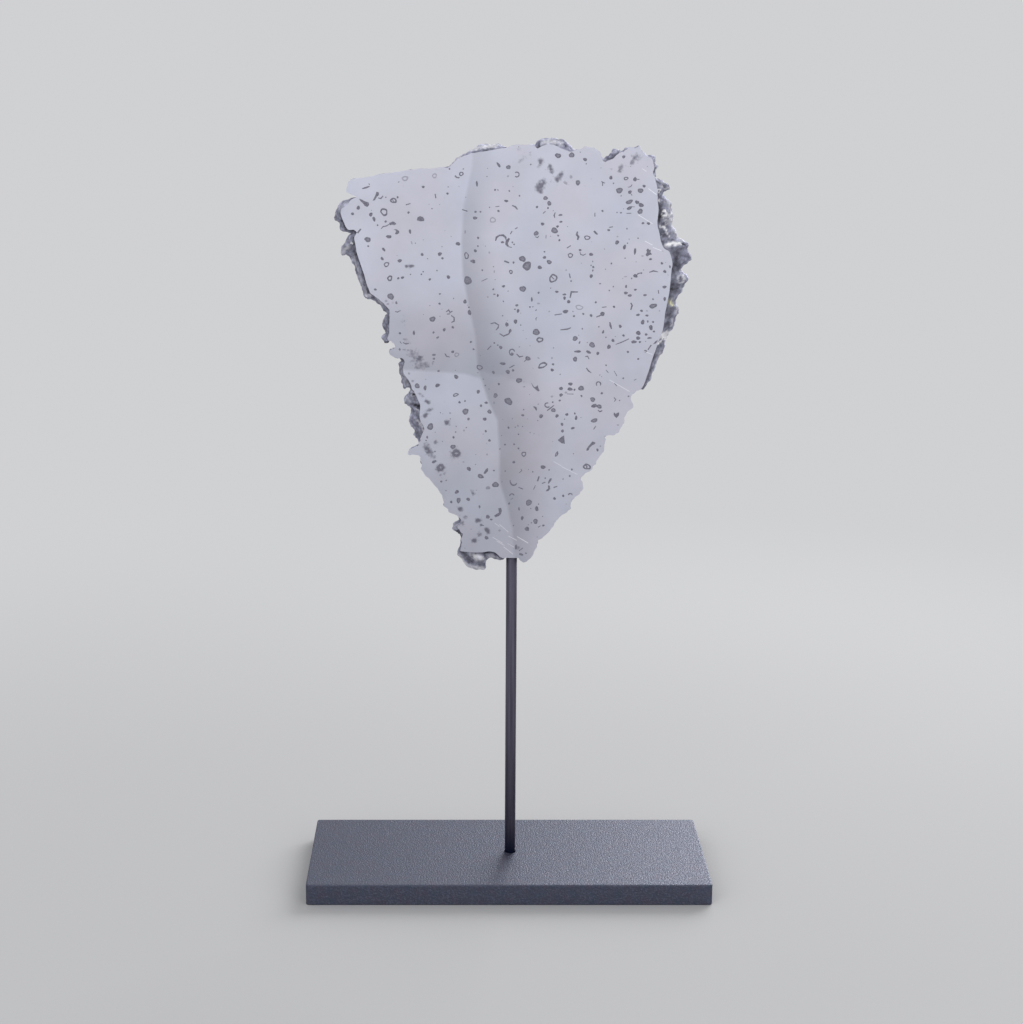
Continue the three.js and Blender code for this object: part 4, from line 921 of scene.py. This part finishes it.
def back_painted_shade_and_stain(points):
    """The painted shade and stain of points on the back. The face's painted shade is carried through to it, weaker, but
    it isn't polished.
    """
    places = [Vector(point) / (40 * MM) for point in points]
    clouds = np.array([0.12 * noise.noise(place) for place in places])
    through = drawn_places([(x, FACE_Y, z) for x, _, z in points])
    stain = [max(0, noise.noise(place * 6) - 0.25) for place in places]
    # Painted shade from the face, weakened, with random clouds.
    return 0.75 * face_painted_shade(through) + 0.22 + clouds, stain


def front_shapes(outline):
    """The polished face's inclusions, with seeded specks between the listed ones."""
    shapes = [(carry_to_face(points), kind) for points, kind in drawn_shapes()]
    shapes = [(points, kind) for points, kind in shapes if clear_of_edge(points, outline, 0.12).all()]
    return shapes + scattered(speck, 150, 0.18, 0.42, outline, places_taken(shapes))


def back_shapes(outline):
    """Inclusions of the back, which the view doesn't show: the same kinds and sizes at seeded places."""
    taken = []
    shapes = scattered(speck, 20, 1.1, 1.9, outline, taken)
    shapes += scattered(loose_ring, 44, 0.75, 1.6, outline, taken)
    shapes += scattered(loose_arc, 60, 0.8, 1.9, outline, taken)
    shapes += scattered(speck, 170, 0.4, 1.05, outline, taken)
    return shapes + scattered(speck, 170, 0.18, 0.42, outline, taken)


def fill_cut(bm, plane_y, shapes_for, shade_and_stain_of, layer, slot):
    """Closes one cut edge with a flat face that has its shapes inlaid, and paints it."""
    loop = cut_edge_loop(bm, plane_y)
    outline = [(vert.co.x / MM, vert.co.z / MM) for vert in loop]
    points = list(outline)
    rings = [list(range(len(outline)))]
    kinds = ["metal"]
    for shape, kind in shapes_for(outline):
        shape = shape if turns_left(shape) else shape[::-1]
        rings.append(list(range(len(points), len(points) + len(shape))))
        points.extend(shape)
        kinds.append(kind)
    inner = np.vstack((even_grid(outline, 2.2), carry_to_face(shading_places())))
    points.extend(inner[clear_of_edge(inner, outline, 0.4)])
    verts, _, faces, origins, _, owners = delaunay_2d_cdt([Vector(p) for p in points], [], rings, 1, 1e-5, True)
    shade, stain = shade_and_stain_of([(vert.x * MM, plane_y, vert.y * MM) for vert in verts])
    placed = []
    for place, origin in zip(verts, origins):
        on_edge = [index for index in origin if index < len(outline)]
        placed.append(loop[on_edge[0]] if on_edge else bm.verts.new((place.x * MM, plane_y, place.y * MM)))
    looks_front = plane_y < 0
    for corners, owner in zip(faces, owners):
        if not owner:
            continue
        mark, shine = KINDS[kinds[max(owner)]]
        order = corners if looks_front else corners[::-1]
        face = bm.faces.new([placed[index] for index in order])
        face.material_index = slot
        for index, corner in zip(order, face.loops):
            corner[layer] = (shade[index], mark, shine, stain[index])


def new_piece(name, bm, materials, node):
    """Turns a mesh in the making into a piece that stands for a node."""
    mesh = bpy.data.meshes.new(name)
    bm.to_mesh(mesh)
    bm.free()
    for material in materials:
        mesh.materials.append(material)
    piece = bpy.data.objects.new(name, mesh)
    bpy.context.scene.collection.objects.link(piece)
    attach(piece, "root")
    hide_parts(node)


def meteorite_slice():
    """The whole slice as one closed mesh: rough rim, polished face and cut back."""
    bm = bmesh.new()
    bm.from_mesh(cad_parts["meteorite_slice"].data)
    bmesh.ops.remove_doubles(bm, verts=bm.verts, dist=0.001 * MM)
    open_cut_faces(bm)
    bmesh.ops.subdivide_edges(bm, edges=bm.edges[:], cuts=4, use_grid_fill=True)
    round_off(bm)
    painted_light_and_marks = shape_rim(bm)
    layer = bm.loops.layers.float_color.new("painted_light_and_marks")
    paint_rim(bm, painted_light_and_marks, layer)
    for edge in bm.edges:
        edge.smooth = not edge.is_boundary
    fill_cut(bm, FACE_Y, front_shapes, front_painted_shade_and_stain, layer, 0)
    fill_cut(bm, BACK_Y, back_shapes, back_painted_shade_and_stain, layer, 2)
    materials = [
        cut_metal("polished_face", (0.503, 0.507, 0.583), 0.46, 0.3 * MM, 0.004 * MM),
        natural_rim(),
        cut_metal("cut_back", (0.35, 0.35, 0.39), 0.5, 0.8 * MM, 0.06 * MM),
    ]
    new_piece("meteorite_slice_finish", bm, materials, "meteorite_slice")


# The stand


def stand_rod():
    """The rod with its pin, turned from radii and heights."""
    profile = [
        (ROD_RADIUS - ROD_BEVEL, ROD_LOW.z), (ROD_RADIUS, ROD_LOW.z + ROD_BEVEL),
        (ROD_RADIUS, SHOULDER_Z - ROD_BEVEL), (ROD_RADIUS - ROD_BEVEL, SHOULDER_Z), (PIN_RADIUS, SHOULDER_Z),
        (PIN_RADIUS, ROD_HIGH.z - ROD_BEVEL), (PIN_RADIUS - ROD_BEVEL, ROD_HIGH.z),
    ]
    sides = 64
    angles = [math.tau * side / sides for side in range(sides)]
    bm = bmesh.new()
    rings = [
        [bm.verts.new((ROD_X + radius * math.cos(a), radius * math.sin(a), height)) for a in angles]
        for radius, height in profile
    ]
    for lower, upper in zip(rings, rings[1:]):
        for side in range(sides):
            onward = (side + 1) % sides
            bm.faces.new((lower[side], lower[onward], upper[onward], upper[side])).smooth = True
    bm.faces.new(rings[0][::-1])
    bm.faces.new(rings[-1])
    new_piece("stand_rod_finish", bm, [satin_rod()], "stand_rod")


def stand_base():
    """The base plate keeps its own mesh and gets its coating."""
    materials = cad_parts["stand_base"].data.materials
    materials.clear()
    materials.append(coated_plate())


# The stage


def camera():
    data = bpy.data.cameras.new("camera")
    data.sensor_width = SENSOR_WIDTH
    data.lens = SENSOR_WIDTH * FOCAL / max(DRAWN_SIZE)
    data.shift_x = ((DRAWN_SIZE[0] - 1) / 2 - DRAWN_AXIS[0]) / max(DRAWN_SIZE)
    data.clip_start = 0.01
    view = bpy.data.objects.new("camera", data)
    view.location = EYE
    view.rotation_euler = (math.pi / 2 - PITCH, 0, 0)
    bpy.context.scene.collection.objects.link(view)
    bpy.context.scene.camera = view


def soft_light(name, place, target, size, power):
    data = bpy.data.lights.new(name, "AREA")
    data.shape = "DISK"
    data.size = size
    data.energy = power
    lamp = bpy.data.objects.new(name, data)
    lamp.location = place
    lamp.rotation_euler = (Vector(target) - Vector(place)).to_track_quat("-Z", "Y").to_euler()
    bpy.context.scene.collection.objects.link(lamp)


def pale_floor():
    """A pale floor that turns into the surroundings' own shade far out, so that no horizon shows."""
    reach = 12
    corners = [(-reach, -reach, 0), (reach, -reach, 0), (reach, reach, 0), (-reach, reach, 0)]
    mesh = bpy.data.meshes.new("floor")
    mesh.from_pydata(corners, [], [(0, 1, 2, 3)])
    material, tree, shader = new_material("pale_floor")
    shader.inputs["Base Color"].default_value = (0.47, 0.47, 0.475, 1)
    shader.inputs["Roughness"].default_value = 1
    shader.inputs["Specular IOR Level"].default_value = 0
    place = add_node(tree, "ShaderNodeTexCoord").outputs["Object"]
    distance = add_node(tree, "ShaderNodeVectorMath", {0: place}, operation="LENGTH").outputs["Value"]
    far = add_node(tree, "ShaderNodeEmission", {"Color": SURROUNDINGS})
    share = ramp(tree, distance, 0, 1, 0.14, 0.75, interpolation_type="SMOOTHSTEP")
    blend = add_node(tree, "ShaderNodeMixShader", {0: share, 1: shader.outputs[0], 2: far.outputs[0]})
    tree.links.new(blend.outputs[0], tree.nodes["Material Output"].inputs["Surface"])
    mesh.materials.append(material)
    floor = bpy.data.objects.new("floor", mesh)
    bpy.context.scene.collection.objects.link(floor)


def surroundings():
    world = bpy.data.worlds.new("studio")
    world.use_nodes = True
    world.node_tree.nodes["Background"].inputs["Color"].default_value = SURROUNDINGS
    bpy.context.scene.world = world


camera()
meteorite_slice()
stand_rod()
stand_base()
pale_floor()
surroundings()
soft_light("key", (-0.7, -1.5, 0.9), (0, 0, 0.2), 1.6, 11.8)
soft_light("fill", (0.9, -1.3, 0.25), (0, 0, 0.25), 1.2, 6.5)
soft_light("back", (0.75, 1.25, 0.75), (0.05, 0, 0.05), 1.3, 26)
bpy.context.scene.view_settings.view_transform = "Standard"

bpy.context.view_layer.update()
